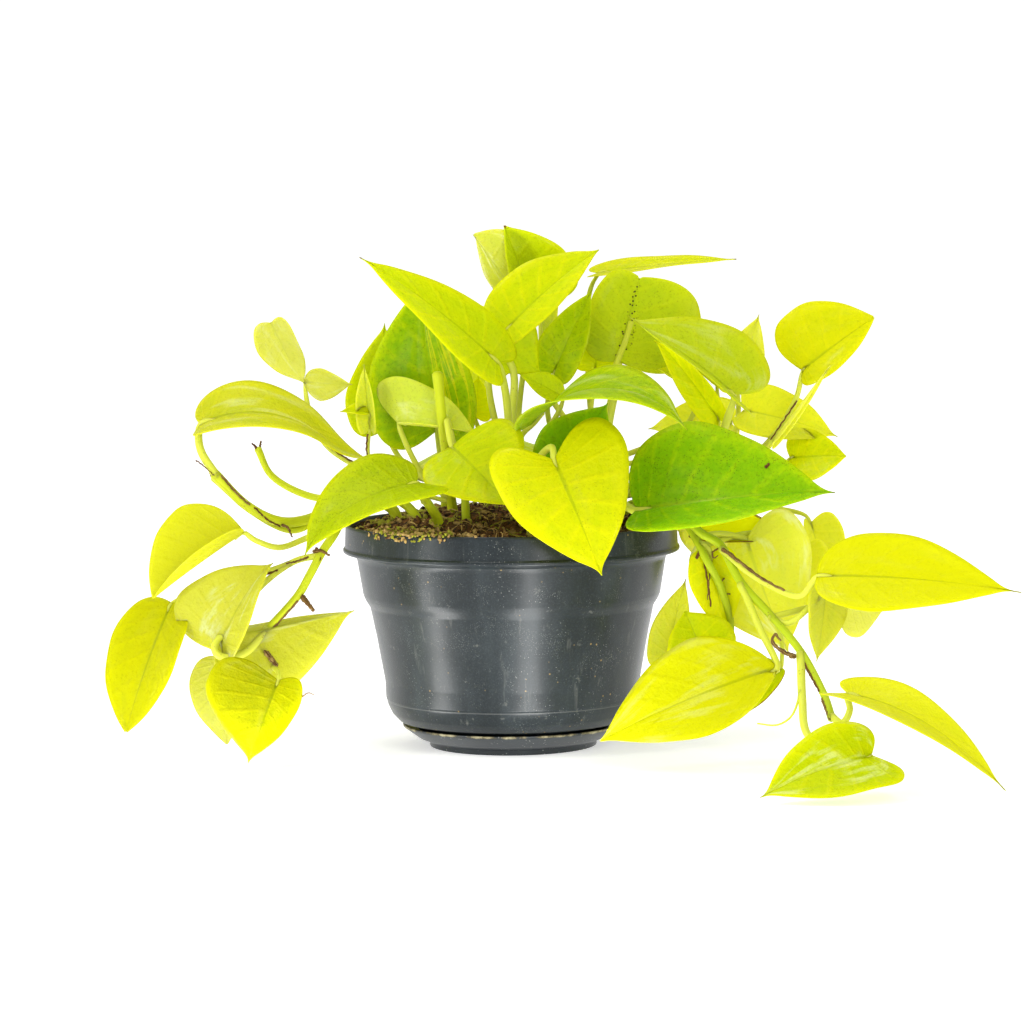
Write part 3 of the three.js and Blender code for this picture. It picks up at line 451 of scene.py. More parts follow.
def leaf_finish():
    finish = Finish("leaf", Specular_IOR_Level=0.04, Subsurface_Weight=0.8, Subsurface_Scale=0.003,
                    Subsurface_Radius=(1.0, 1.0, 0.05), Coat_Roughness=0.25)
    green, pale, dry, lot = finish.attribute("tone")
    under, specks, fleck = finish.attribute("marks")[:3]
    deep, sheen = finish.attribute("shade")[:2]
    u, v = finish.blade()
    out = (v * 2 - 1).size()
    spot = finish.along(u * 2.2, v * 3.5, lot * 37)
    blotch = finish.noise(1.6, 3, 0.55, spot) - 0.5
    mottle = finish.noise(330, 4, 0.7) - 0.5
    # Painted glint: light streaks over the right half of a blade stand in for a reflection on its
    # ribbed surface.
    flash = finish.noise(1.5, 3, 0.6, finish.along(u * 1.3, v * 14, lot * 61)).between(0.56, 0.6)
    flash = flash * fleck * v.between(0.47, 0.53)
    vein = 1 - ((u ** VEIN_SWEEP * SIDE_VEINS).fraction() - 0.5).size().between(0.03, 0.16)
    vein = vein * out.between(0.0, 0.12) * (1 - out.between(0.75, 1.0))
    rib = 1 - out.between(0.012, 0.05)
    ripe = (green + blotch * (0.42 - green * 0.2) + mottle * (green * 0.3 + 0.15)
            - out.between(0.72, 1.0) * 0.1 - vein * 0.08)
    # Painted sheen: pale streaks mixed into the colour stand in for a glossy reflection; the same
    # streaks also set the real coat's weight.
    shine = finish.noise(1.3, 3, 0.6, finish.along(u * 3.0, v * 9, lot * 29)).between(0.44, 0.66)
    shine = shine * finish.noise(1.1, 2, 0.5, spot).between(0.44, 0.6)
    colour = finish.coats(YELLOW, (ripe.between(0.0, 0.45), LIME), (ripe.between(0.4, 1.0), GREEN),
                          (flash, FLASH), (rib * 0.4, RIB), (pale + under * 0.04, PALE),
                          (shine * sheen, SHEEN))
    grime = finish.noise(820, 3, 0.7).between(0.5, 0.74) * (green + 0.2)
    # Painted shade and light: each leaf's own share makes it darker or brighter as a whole; grime
    # adds fine dirt.
    colour = finish.scaled(colour, 1 - deep - grime * 0.4)
    heavy = specks.between(0.8, 1.0)
    beside = (1 - out.between(0.06, 0.17)) * heavy * u.between(0.1, 0.3)
    grains = finish.grains(900, (0.72, 0.86), (140, 2), (0.5, 0.6)) * (1 - heavy * 0.7)
    grains = grains + (1 - finish.cells(620)).between(0.66, 0.76) * beside
    ragged = (finish.noise(260, 3) - 0.5) * 0.5 * dry.between(0.02, 0.2)
    ragged = (dry + ragged).between(0.35, 0.6)
    colour = finish.coats(colour, (grains * specks, SPECK), (ragged, DRY))
    gloss = 0.36 + under * 0.25 + ragged * 0.3 + blotch * 0.15
    finish.wear(Base_Color=colour, Roughness=gloss, Coat_Weight=shine * 0.3)
    fine = finish.cells(700, "DISTANCE_TO_EDGE").between(0.0, 0.25)
    finish.bump((fine, 0.1), (vein + rib, 0.2), (finish.noise(420, 3), 0.4),
                (finish.noise(95, 2), 0.6))
    return finish.material


# %% Finishes for stems, for what has dried on them, and for the soil
STALK, STALK_GREEN = (0.6, 0.63, 0.015), (0.24, 0.39, 0.004)
STALK_PALE, STALK_DRY = (0.6, 0.62, 0.14), (0.2, 0.09, 0.02)
HUSK_DARK, HUSK_BROWN, HUSK_STRAW = (0.03, 0.01, 0.002), (0.26, 0.1, 0.014), (0.5, 0.38, 0.12)
PEAT, CLOD, BARK = (0.004, 0.002, 0.001), (0.19, 0.08, 0.02), (0.52, 0.35, 0.12)
MOSS, STRAW = (0.36, 0.36, 0.03), (0.55, 0.36, 0.12)


def stem_finish():
    finish = Finish("stem", Specular_IOR_Level=0.18, Subsurface_Weight=0.5, Subsurface_Scale=0.003,
                    Subsurface_Radius=(1.0, 1.0, 0.1))
    green, pale, dry, lot = finish.attribute("tone")
    u, v = finish.blade()
    fibre = finish.noise(1.0, 3, 0.6, finish.along(u * 6, v * 26, lot * 23))
    spots = finish.grains(520, (0.74, 0.9), (120, 2), (0.52, 0.62))
    worn = dry + spots * 0.5 + fibre.between(0.66, 0.72) * 0.2
    colour = finish.coats(STALK, (green + (fibre - 0.5) * 0.5, STALK_GREEN), (pale, STALK_PALE),
                          (worn, STALK_DRY))
    finish.wear(Base_Color=colour, Roughness=fibre * 0.25 + 0.34)
    finish.bump((fibre, 0.25), (finish.noise(500, 2), 0.08))
    return finish.material


def husk_finish():
    finish = Finish("dry husk", Specular_IOR_Level=0.2)
    u, v = finish.blade()
    _, pale, _, lot = finish.attribute("tone")
    fibre = finish.noise(1.0, 4, 0.7, finish.along(u * 5, v * 30, lot * 17))
    colour = finish.coats(HUSK_DARK, (fibre.between(0.3, 0.75), HUSK_BROWN),
                          (pale * fibre.between(0.45, 0.6), HUSK_STRAW))
    finish.wear(Base_Color=colour, Roughness=fibre * 0.3 + 0.5)
    finish.bump((fibre, 0.5))
    return finish.material


def soil_finish():
    finish = Finish("potting soil", Roughness=0.93, Specular_IOR_Level=0.25)
    green, pale, dry, _ = finish.attribute("tone")
    clod = finish.noise(420, 5, 0.7)
    colour = finish.coats(PEAT, (clod.between(0.35, 0.7), CLOD),
                          (pale * finish.noise(300, 3).between(0.3, 0.6), BARK),
                          (green * finish.noise(500, 3).between(0.25, 0.6), MOSS), (dry, STRAW))
    finish.wear(Base_Color=colour)
    finish.bump((clod, 0.8))
    return finish.material


# %% Make the finishes
POT_PLASTIC, SAUCER_PLASTIC = pot_finish(), saucer_finish()
PLANT, SOIL = [leaf_finish(), stem_finish(), husk_finish()], soil_finish()
LEAF, STEM, HUSK = range(3)  # the order of the plant's finishes
print("finishes:", len(bpy.data.materials))

# %% [markdown]
# ## The pot and its saucer
# Both are turned shapes, so each is one closed profile carried round the axis. The pot's wall
# steps out twice below the rim, and a fine moulding seam runs round it a fifth of the way up.
# Every corner of a moulded edge is rounded by a few extra profile points.

# %% Rounded corners
def rounded(profile, reach, steps=3):
    """Each corner of a profile cut back by `reach` and bridged by a small quadratic curve."""
    profile = np.asarray(profile, float)
    before, corner, after = profile[:-2], profile[1:-1], profile[2:]

    def cut(way):
        far = np.linalg.norm(way, axis=1, keepdims=True)
        return (corner + way / far * np.minimum(reach, 0.4 * far))[:, None]

    t = np.linspace(0, 1, steps)[None, :, None]
    curve = (1 - t) ** 2 * cut(before - corner) + 2 * t * (1 - t) * corner[:, None]
    curve = curve + t ** 2 * cut(after - corner)
    return np.concatenate([profile[:1], curve.reshape(-1, 2), profile[-1:]])


# %% Turn the pot and the saucer
POT_PROFILE = [
    (0, 3.2), (30, 3.2), (30, 1.9), (34.5, 1.9), (34.5, 3.4), (40.5, 6), (46, 10.6), (51.2, 11.8),
    (54.6, 15.4), (56.3, 18.9), (57.0, 21.0), (57.0, 21.6), (57.4, 22.2), (57.7, 30.1),
    (61.3, 50.3), (64.1, 63.7), (66.1, 66.8), (67.1, 69.1), (69.7, 85), (70.6, 87.0), (76, 88.6),
    (76, 90.2), (75.3, 90.6), (75.2, 91.2), (74.8, 100.4), (74.3, 101.4), (73.4, 100.9),
    (73.2, 98), (73.0, 90.5), (68.4, 86), (65.8, 69.5), (62.8, 64), (55, 19.4), (50.4, 13.3),
    (45.2, 11.9), (39.6, 7.2), (34.2, 4.6), (0, 4.6)]
SAUCER_PROFILE = [
    (0, 0), (37.8, 0), (37.8, 2.2), (43, 4.3), (49.5, 9), (50.1, 9.9), (49.4, 10.3), (48.7, 9.9),
    (48.2, 9.2), (42.2, 5.4), (36.7, 3.3), (36.7, 1.6), (0, 1.6)]


def turned(name, node, slot, finish, profile, reach, sides):
    points, faces = lathe(rounded(profile, reach), sides)
    skin = Skin()
    skin.add(*weld(points, faces))
    piece = skin.make(name, node, slot, [finish])
    print(name, len(piece.data.polygons), "faces")


turned("hanging_pot", "pot", "pot_plastic", POT_PLASTIC, POT_PROFILE, 0.6, 192)
turned("drip_saucer", "saucer", "saucer_plastic", SAUCER_PLASTIC, SAUCER_PROFILE, 0.4, 160)

# %% [markdown]
# ## Potting soil
# The soil fills the pot and heaves up into a lumpy mound. Its surface is a polar grid, raised
# by a few layers of waves. Thousands of small crumbs, bark fibres and bits of moss lie on it,
# and some have spilled onto the rim at the front. Each crumb is a rough ball of twenty faces.

# %% The mound
SOIL_RADIUS, SOIL_EDGE, SOIL_RISE = 72.6, 98, 9
SOIL_WALL = [(0, 4.9), (33.9, 4.9), (39.2, 7.5), (44.8, 12.2), (50.0, 13.6), (54.6, 19.7),
             (62.4, 64.3), (65.4, 69.8), (68.0, 86.3), (72.4, 90.9), (SOIL_RADIUS, SOIL_EDGE)]
CRUMBS, FIBRES, SPILT = 2600, 900, 420


def mound(x, y):
    """Height of the soil: a low dome, two crossed waves for lumps, and finer ones for clods."""
    share = np.clip(np.hypot(x, y) / SOIL_RADIUS, 0, 1)
    lumps = np.sin(x / 5.1 + 1.3) * np.cos(y / 6.3) + np.sin((x + y) / 3.7)
    clods = np.sin(x * 1.7 + 2 * np.sin(y * 0.9)) * np.sin(y * 1.9 + 2 * np.sin(x * 0.8))
    rough = (1.1 * lumps + 0.5 * clods) * (1 - share ** 8)
    return SOIL_EDGE + SOIL_RISE * (1 - share ** 2) + rough


def soil_body():
    """A polar grid for the top, closed below by the shape of the pot's inside."""
    rings = [(SOIL_RADIUS * (1 - t), 0) for t in np.linspace(0, 1, 60)[1:]]
    grid, faces = lathe(SOIL_WALL + rings, 180)
    top = grid[len(SOIL_WALL):]
    top[..., 2] = mound(top[..., 0], top[..., 1])
    return weld(grid, faces)


# %% Crumbs and fibres
def ball():
    """The twelve corners and twenty faces of an icosahedron of radius 1."""
    g = (1 + 5 ** 0.5) / 2
    corners = np.array([(-1, g, 0), (1, g, 0), (-1, -g, 0), (1, -g, 0), (0, -1, g), (0, 1, g),
                        (0, -1, -g), (0, 1, -g), (g, 0, -1), (g, 0, 1), (-g, 0, -1), (-g, 0, 1)])
    faces = np.array([(0, 11, 5), (0, 5, 1), (0, 1, 7), (0, 7, 10), (0, 10, 11), (1, 5, 9),
                      (5, 11, 4), (11, 10, 2), (10, 7, 6), (7, 1, 8), (3, 9, 4), (3, 4, 2),
                      (3, 2, 6), (3, 6, 8), (3, 8, 9), (4, 9, 5), (2, 4, 11), (6, 2, 10),
                      (8, 6, 7), (9, 8, 1)])
    return corners / np.linalg.norm(corners[0]), faces


def many(skin, points, faces, tones):
    """Small bodies of one build: the same faces again for each row of points."""
    count, corners = points.shape[:2]
    index = faces + corners * np.arange(count)[:, None, None]
    skin.add(points, index.reshape(-1, 3), tone=np.repeat(tones, corners, axis=0))


def scatter(skin, centres, sizes, tones, chance):
    """A rough ball at each centre: corners pushed in and out, and each ball squashed a little."""
    corners, faces = ball()
    dents = chance.uniform(0.6, 1.25, (len(centres), len(corners), 1))
    squash = chance.uniform(0.55, 1.2, (len(centres), 1, 3))
    many(skin, centres[:, None] + corners * dents * squash * sizes[:, None, None], faces, tones)


def strands(skin, starts, turns, lengths, tones, chance):
    """Thin fibres: each a three-sided rod along a shallow arc that lies on the soil."""
    count, steps, sides = len(starts), 6, 3
    t = np.linspace(-0.5, 0.5, steps)
    heading = turns[:, None] + chance.uniform(-0.9, 0.9, (count, 1)) * t
    spine = np.empty((count, steps, 3))
    spine[..., 0] = starts[:, :1] + np.cos(heading) * (lengths[:, None] * t)
    spine[..., 1] = starts[:, 1:2] + np.sin(heading) * (lengths[:, None] * t)
    lift = chance.uniform(0.3, 1.4, (count, 1)) * (1 - (2 * t) ** 2)
    lift = lift + chance.uniform(-2, 2, (count, 1)) * t
    spine[..., 2] = mound(spine[..., 0], spine[..., 1]) + 0.3 + lift
    thick = chance.uniform(0.12, 0.38, (count, 1)) * (1.05 - (2 * t) ** 4)
    angle = np.linspace(0, 2 * np.pi, sides, endpoint=False)[:, None]
    side = np.stack([-np.sin(turns), np.cos(turns), 0 * turns], -1)[:, None, None]
    around = side * np.cos(angle) + np.array([0, 0, 1]) * np.sin(angle)
    points = spine[:, :, None] + around * thick[..., None, None]
    last = steps * sides - 1
    caps = np.array([(0, 2, 1), (last - 2, last - 1, last)])
    faces = np.concatenate([grid_faces(steps, sides, ring=True), caps])
    many(skin, points.reshape(count, -1, 3), faces, tones)


# %% Where they lie
def on_soil(count, reach, chance):
    """Random places on the mound, evenly spread over its area."""
    radius = reach * np.sqrt(chance.uniform(0, 1, count))
    angle = chance.uniform(0, 2 * np.pi, count)
    x, y = radius * np.cos(angle), radius * np.sin(angle)
    return np.stack([x, y, mound(x, y)], 1)


def mossy(places):
    """How much moss grows at a place: patches from slow waves, most of them at the front left."""
    x, y = places[:, 0], places[:, 1]
    patch = np.sin(x / 9 + 1) * np.sin(y / 8 + 2) + 0.5 * np.sin((x - y) / 5)
    return np.clip(patch * 0.7 + 0.3 + np.clip(-x / 100, -0.2, 0.4), 0, 1)


def spilt_places(chance):
    """Crumbs on the rim at the front left, and a few that cling to the outside of its edge."""
    angle = np.radians(chance.normal(231, 9, SPILT))
    reach = chance.uniform(68.0, 75.2, SPILT)
    heap = 2.6 * chance.uniform(0, 1, SPILT) ** 2 * np.clip((75 - reach) / 4, 0.2, 1)
    over = chance.uniform(0, 1, SPILT) > 0.88
    reach = np.where(over, 75.1, reach)
    height = np.where(over, chance.uniform(98.2, 101.6, SPILT), 101.3 + heap)
    return np.stack([reach * np.cos(angle), reach * np.sin(angle), height], 1)


# %% Fill the pot
def potting_soil():
    """The body, then the crumbs, fibres and spilt grains, each with its green, pale and straw."""
    chance = np.random.default_rng(11)
    skin = Skin()
    skin.add(*soil_body())
    places = on_soil(CRUMBS, 70, chance)
    moss = mossy(places) * chance.uniform(0, 1, CRUMBS) > 0.45
    size = chance.gamma(2.2, 0.46, CRUMBS).clip(0.35, 3.0)
    pale = (chance.uniform(0, 1, CRUMBS) > 0.68) * 0.9
    scatter(skin, places + [0, 0, 0.2], size, np.stack([moss, pale, 0 * pale, pale], 1), chance)
    places = on_soil(FIBRES, 68, chance)
    straw = (chance.uniform(0, 1, FIBRES) > 0.55) * 0.7
    green = (mossy(places) > 0.6) * 0.9
    turns, lengths = chance.uniform(0, np.pi, FIBRES), chance.uniform(2.5, 11, FIBRES)
    tones = np.stack([green, 0 * straw + 0.6, straw * (1 - green), straw], 1)
    strands(skin, places, turns, lengths, tones, chance)
    places, size = spilt_places(chance), chance.uniform(0.35, 1.2, SPILT)
    kind = chance.uniform(0, 1, SPILT)
    tones = np.stack([kind < 0.35, (kind > 0.3) * 0.9, 0 * size, size], 1)
    scatter(skin, places, size, tones, chance)
    return skin.make("potting_soil", "soil", "soil", [SOIL], smooth=False)


soil_piece = potting_soil()
print("soil faces:", len(soil_piece.data.polygons))

# %% [markdown]
# ## Stems and leaf stalks
# A stem is a tube along a smooth curve through its points, the same curve that the solid
# follows. It swells a little where a leaf grows, and it ends in a rounded cap. The frame of
# each ring turns about one axis that no part of the stem points along, so it never twists.

# %% Tubes
ROD_STEP, HUSK_STEP = 2.0, 0.5  # millimetres from ring to ring
SPAN_STEPS = 24  # places along the curve between two points, before they are spaced evenly
SWELLING = 0.12


def smooth_path(points, step):
    """A Catmull-Rom curve through the points, with places about `step` apart."""
    points = np.asarray(points, float)
    ends = np.concatenate([[2 * points[0] - points[1]], points, [2 * points[-1] - points[-2]]])
    share = np.linspace(0, 1, SPAN_STEPS, endpoint=False)[:, None]
    a, b, c, d = (ends[k:len(ends) - 3 + k, None] for k in range(4))
    curve = 0.5 * (2 * b + (c - a) * share + (2 * a - 5 * b + 4 * c - d) * share ** 2
                   + (3 * b - a - 3 * c + d) * share ** 3)
    curve = np.concatenate([curve.reshape(-1, 3), points[-1:]])
    travelled = np.concatenate([[0], np.cumsum(np.linalg.norm(np.diff(curve, axis=0), axis=1))])
    count = max(4, int(travelled[-1] / step) + 1)
    even = np.linspace(0, travelled[-1], count)
    return np.stack([np.interp(even, travelled, curve[:, k]) for k in range(3)], 1)


def tube(path, radius, sides=12):
    """Rings of the given radius along a path, with both ends drawn in to a round cap."""
    along = unit(np.gradient(path, axis=0))
    side = unit(np.cross(np.linalg.svd(along)[2][-1], along))
    up = np.cross(along, side)
    tuck, reach = np.array([0.02, 0.7]), np.array([[0.5], [0.35]])
    path = np.concatenate([path[:1] - along[:1] * radius[0] * reach, path,
                           path[-1:] + along[-1:] * radius[-1] * reach[::-1]])
    side, up = (np.concatenate([k[:1], k[:1], k, k[-1:], k[-1:]]) for k in (side, up))
    radius = np.concatenate([radius[:1] * tuck, radius, radius[-1:] * tuck[::-1]])
    angle = np.linspace(0, 2 * np.pi, sides, endpoint=False)
    around = side[:, None] * np.cos(angle)[:, None] + up[:, None] * np.sin(angle)[:, None]
    rows, fan = len(path), np.arange(1, sides - 1)
    low = np.stack([0 * fan, fan + 1, fan], 1)
    high = np.stack([0 * fan, fan, fan + 1], 1) + (rows - 1) * sides
    faces = np.concatenate([grid_faces(rows, sides, ring=True), low, high])
    place = [np.repeat(np.linspace(0, 1, rows), sides), np.tile(angle / 2 / np.pi, rows)]
    return path[:, None] + around * radius[:, None, None], faces, np.stack(place, 1)


# %% Stems, stalks and dried bits
def rod(skin, points, radius, green, pale=0.0, seed=0.0, thin=0.0):
    """A stem or stalk: its radius runs from one end to the other and swells at both, and the
    last tenth may grow thin by a share."""
    path = smooth_path(points, ROD_STEP)
    share = np.linspace(0, 1, len(path))
    size = radius[0] + (radius[1] - radius[0]) * share
    size = size * (1 + SWELLING * np.exp(-((1 - share) / 0.06) ** 2)
                   + SWELLING * np.exp(-(share / 0.05) ** 2))
    shape, faces, place = tube(path, size * (1 - thin * np.clip((share - 0.86) / 0.12, 0, 1)))
    skin.add(shape, faces, STEM, place, (green, pale, 0, seed))


def husk(skin, points, radius, seed):
    """What has dried on a stem, a leaf sheath or an air root: a ragged little rod."""
    path = smooth_path(points, HUSK_STEP)
    share = np.linspace(0, 1, len(path))
    ragged = 1 + 0.22 * np.sin(41 * share + 9 * seed) * np.sin(17 * share + 5 * seed)
    path = path + 0.12 * np.sin(np.outer(share, (31, 23, 37)) + 7 * seed)
    size = (radius[0] + (radius[1] - radius[0]) * share) * ragged
    shape, faces, place = tube(path, size, sides=7)
    skin.add(shape, faces, HUSK, place, (0, seed % 0.7, 0, seed))


# %% [markdown]
# ## Leaf blades
# A pothos blade is a lopsided heart. Its midrib bends over in an arc, its halves rise from the
# midrib and cup towards the margin, and its lobes reach back past the stalk. Curves of constant
# `u` run out from the midrib and sweep towards the tip, just as the side veins do, so the same
# parameter places the swellings between the veins.

# %% Midrib and outline
LARGE_LEAF = 34  # millimetres; a longer blade gets the finer grid
LARGE_GRID, SMALL_GRID, MIDRIB_GRID = (58, 12), (34, 8), 60
HALF_THICK, THINNED = 0.26, 0.14  # half a blade's thickness, and what the margin lacks of it
RIB_WIDTH, RIB_GROOVE, RIB_KEEL = 0.75, 0.34, 0.55
STALK_REACH = 0.38  # how far a stalk runs on under its blade, as a share of the midrib
GOLDEN = 0.381966  # steps by this share of a circle never fall together


def of_side(row, side, *names):
    """Values that may differ from the left half (side 0) to the right (side 1)."""
    return [np.broadcast_to(np.asarray(row[name], float), 2)[side] for name in names]


def eased(share):
    return share ** 2 * (3 - 2 * share)


def midrib(arch, hook):
    """Heading along the midrib: even through `arch`, later through `hook`, its chord level."""
    share = np.linspace(0, 1, MIDRIB_GRID)
    late = np.clip((share - 0.6) / 0.4, 0, 1)
    heading = np.radians(arch) * (0.5 - share) - np.radians(hook) * eased(late)
    middle = (heading[1:] + heading[:-1]) / 2
    x, y = (np.concatenate([[0], np.cumsum(k)]) / len(k) for k in (np.cos(middle), np.sin(middle)))
    length, tilt = np.hypot(x[-1], y[-1]), np.arctan2(y[-1], x[-1])
    place = (x + 1j * y) * np.exp(-1j * tilt) / length
    return share, place.real, place.imag, heading - tilt


def leaf_frame(row):
    """The base, the way to the tip, the way the leaf faces, the way across it, its length."""
    chord = row["tip"] - row["base"]
    length = np.linalg.norm(chord)
    chord = chord / length
    face = row["face"] - row["face"] @ chord * chord
    face /= np.linalg.norm(face)
    return row["base"], chord, face, np.cross(chord, face), length


def half_width(u, side, point, seed, life):
    """How far the heart reaches out at u: a lopsided sine that its point draws in. `life` adds
    an uneven margin and a drawn-out tip."""
    reach = 1.03 * np.sin(np.pi * np.clip(u, 0, 1) ** 0.86) * (1 - point * u ** 4)
    uneven = 0.022 * np.sin(9 * u + 7 * seed + 2 * side)
    uneven = uneven + 0.011 * np.sin(23 * u + 5 * seed + 3 * side)
    drip = np.clip((u - 0.84) / 0.12, 0, 1) * np.clip(point, 0, 1)
    return reach * (1 + life * uneven) * (1 - life * 0.5 * eased(drip))


# %% The blade surface
def blade_points(row, u, v, seed=0.0, life=1.0):
    """The blade's middle surface: u from base to tip, v from left margin to right margin.

    A point takes its place along the midrib, where the lobe draws its margin back past the
    base and the notch pushes it on past the tip, and its place out from the midrib. It is then
    bent with the fold and the cup of its half, and carried onto the midrib. `life` adds what
    the solid leaves out: an uneven margin, and swellings between the veins."""
    side, out = (v > 0).astype(int), np.abs(v)
    lobe, point, width, *bends = of_side(row, side, "lobe", "point", "width", "fold", "cup")
    margin = u - 3 * lobe * u * (1 - u) ** 3 + 6 * row["notch"] * u ** 5 * (1 - u)
    rib = u ** 2.4
    along = rib + (margin - rib) * out ** 1.25
    half, (fold, cup) = width / 2, np.radians(bends)
    cup = np.where(np.abs(cup) < 1e-4, 1e-4, cup)
    bent = fold + cup * half_width(u, side, point, seed, life) * out
    across = np.sign(v) * half / cup * (np.sin(bent) - np.sin(fold))
    rise = -half / cup * (np.cos(bent) - np.cos(fold))
    swell = np.abs(np.sin(np.pi * u ** VEIN_SWEEP * SIDE_VEINS)) ** 0.8
    swell = swell * np.sin(np.pi * np.clip(out, 0, 1)) ** 0.7 * (1 - u) ** 0.4
    wave = np.sin(14 * u + 11 * seed + 1.9 * side) * out ** 3 * np.sin(np.pi * np.clip(u, 0, 1))
    rise = rise + life * np.minimum(half / 20, 1.0) * (0.14 * swell + 0.55 * wave)
    share, x, y, heading = midrib(row["arch"], row["hook"])
    base, chord, face, sideways, length = leaf_frame(row)
    held = np.clip(along, 0, 1)
    x, y, heading = (np.interp(held, share, k) for k in (x, y, heading))
    past = along - held
    x, y = (x + past * np.cos(heading)) * length, (y + past * np.sin(heading)) * length
    turn = np.radians(row["twist"]) * along
    x, y, across, rise, sin_h, cos_h, sin_t, cos_t = (k[..., None] for k in (
        x, y, across, rise, np.sin(heading), np.cos(heading), np.sin(turn), np.cos(turn)))
    normal = -sin_h * chord + cos_h * face
    right, up = cos_t * sideways + sin_t * normal, cos_t * normal - sin_t * sideways
    return base + x * chord + y * face + across * right + rise * up


# %% Blades, stalks and whole vines
def blade(skin, row, seed):
    """A blade as a closed sheet, thicker along the midrib, thin at the margin."""
    rows, half = LARGE_GRID if leaf_frame(row)[-1] > LARGE_LEAF else SMALL_GRID
    v = np.linspace(-1, 1, 2 * half + 1)
    v = np.sign(v) * np.abs(v) ** 1.25
    u, v = np.meshgrid(np.linspace(0.012, 0.992, rows), v, indexing="ij")
    middle = blade_points(row, u, v, seed)
    normal = grid_normals(middle)
    out = np.abs(v)[..., None] * np.mean(row["width"]) / 2
    rib = np.exp(-(out / RIB_WIDTH) ** 2) * (1 - u[..., None]) ** 0.5
    thick = HALF_THICK - THINNED * np.abs(v[..., None]) ** 6
    points, faces = shell(middle + normal * (thick - RIB_GROOVE * rib),
                          middle - normal * (thick + RIB_KEEL * rib))
    u, v = u.ravel(), v.ravel()
    tip = np.clip((u - 0.965) / 0.02, 0, 1) * row["tipped"]
    dry = np.maximum(tip, row["dry"] * np.clip((np.abs(v) - 0.8) / 0.2, 0, 1))
    tone = np.tile([row["green"], row["pale"], 0, seed], (2 * u.size, 1))
    tone[:, 2] = np.tile(dry, 2)
    marks = [(under, row["specks"], row["fleck"], 0) for under in (0, 1)]
    skin.add(points, faces, LEAF, np.tile(np.stack([u, v / 2 + 0.5], 1), (2, 1)), tone,
             np.repeat(marks, u.size, axis=0), (row["deep"], row["sheen"], 0, 0))


def stalk(skin, row, seed):
    """The leaf stalk, from its stem up to the blade and a little way on under the midrib."""
    base, _, under, _, _ = leaf_frame(row)
    radius = row["stalk_r"][1]
    root = blade_points(row, np.array([STALK_REACH]), np.array([0.0]), life=0)[0]
    path = [*row["stalk"], base - under * radius * 0.4, root - under * (0.5 * radius + 0.4)]
    rod(skin, path, row["stalk_r"], 0.03 + row["green"] * 0.3, pale=0.35, seed=seed, thin=0.5)


def leafy_stem(node, green, stems, threads, dried, leaves):
    """One vine: its stems, then what has dried on it, then each leaf with its stalk."""
    skin, first = Skin(), sum(map(ord, node)) % 97 / 97
    for number, (*radius, path) in enumerate(stems):
        rod(skin, path, radius, green, seed=first + number / 7)
    for number, (*radius, path) in enumerate(threads):
        rod(skin, path, radius, 0.2, pale=0.2, seed=first + number / 5)
    for number, (*radius, path) in enumerate(dried):
        husk(skin, path, radius, first + number / 3)
    for number, row in enumerate(leaves):
        seed = (first + number * GOLDEN) % 1
        if len(row["stalk"]):
            stalk(skin, row, seed)
        blade(skin, row, seed)
    return skin.make(node.replace("vine", "leafy_stem"), node, "foliage", PLANT)


# %% [markdown]
# ## The table of vines
# Places are written as text, `x y z, x y z`, in millimetres. Each stem is its radius at both
# ends and the places that it runs through. Each leaf is the place of its base, the place of its
# tip and the way it faces, then its width, the places along its stalk, and how it bends. A pair
# in brackets is for the left half and the right. The last words of a row say how green the leaf
# is, what age has done to it, and the light and shade painted on it.

# %% Rows of the table
VINES = []


def places(text):
    return np.array([place.split() for place in text.split(",") if place], float)


def vine(node, green=0.3):
    """A new vine, with how green its stems are. The rows below it belong to it."""
    VINES.append(dict(node=node, green=green, stems=[], threads=[], dried=[], leaves=[]))


def row_of(kind):
    """The function that writes a row of one kind: a radius at each end, and the path."""
    return lambda start, end, path: VINES[-1][kind].append((start, end, places(path)))


stem, dried = row_of("stems"), row_of("dried")
thread = row_of("threads")  # a thin green stalk or tendril with no leaf of its own


def leaf(span, width, stalk, arch=14, hook=0, fold=8, cup=8, twist=0, lobe=0.8, point=0.75,
         notch=0, stalk_r=(1.5, 1.1), green=0.3, pale=0, dry=0, specks=0, fleck=0, tipped=0,
         deep=0, sheen=0):
    """A leaf's shape, the look that its age has given it, and the light and shade painted on it.
    The midrib bends by arch, and by hook near its tip. The halves rise by fold and curl by cup,
    in degrees."""
    row = dict(locals())
    row["base"], row["tip"], row["face"] = places(span)
    VINES[-1]["leaves"].append({**row, "stalk": places(stalk)})


# %% Stems and leaves
vine("vine_front_left")
stem(2.4, 2, "-32 -37 88, -32 -37 104, -36 -47 113, -41 -55 121")
leaf("-41 -56 124, -90 -80 94, -0.3 -0.6 0.75", 46, "-38 -50 115, -40 -54 120", arch=48, hook=24,
     cup=10, twist=-4, lobe=0.9, green=0.5, specks=0.5, tipped=0.6, deep=0.27)

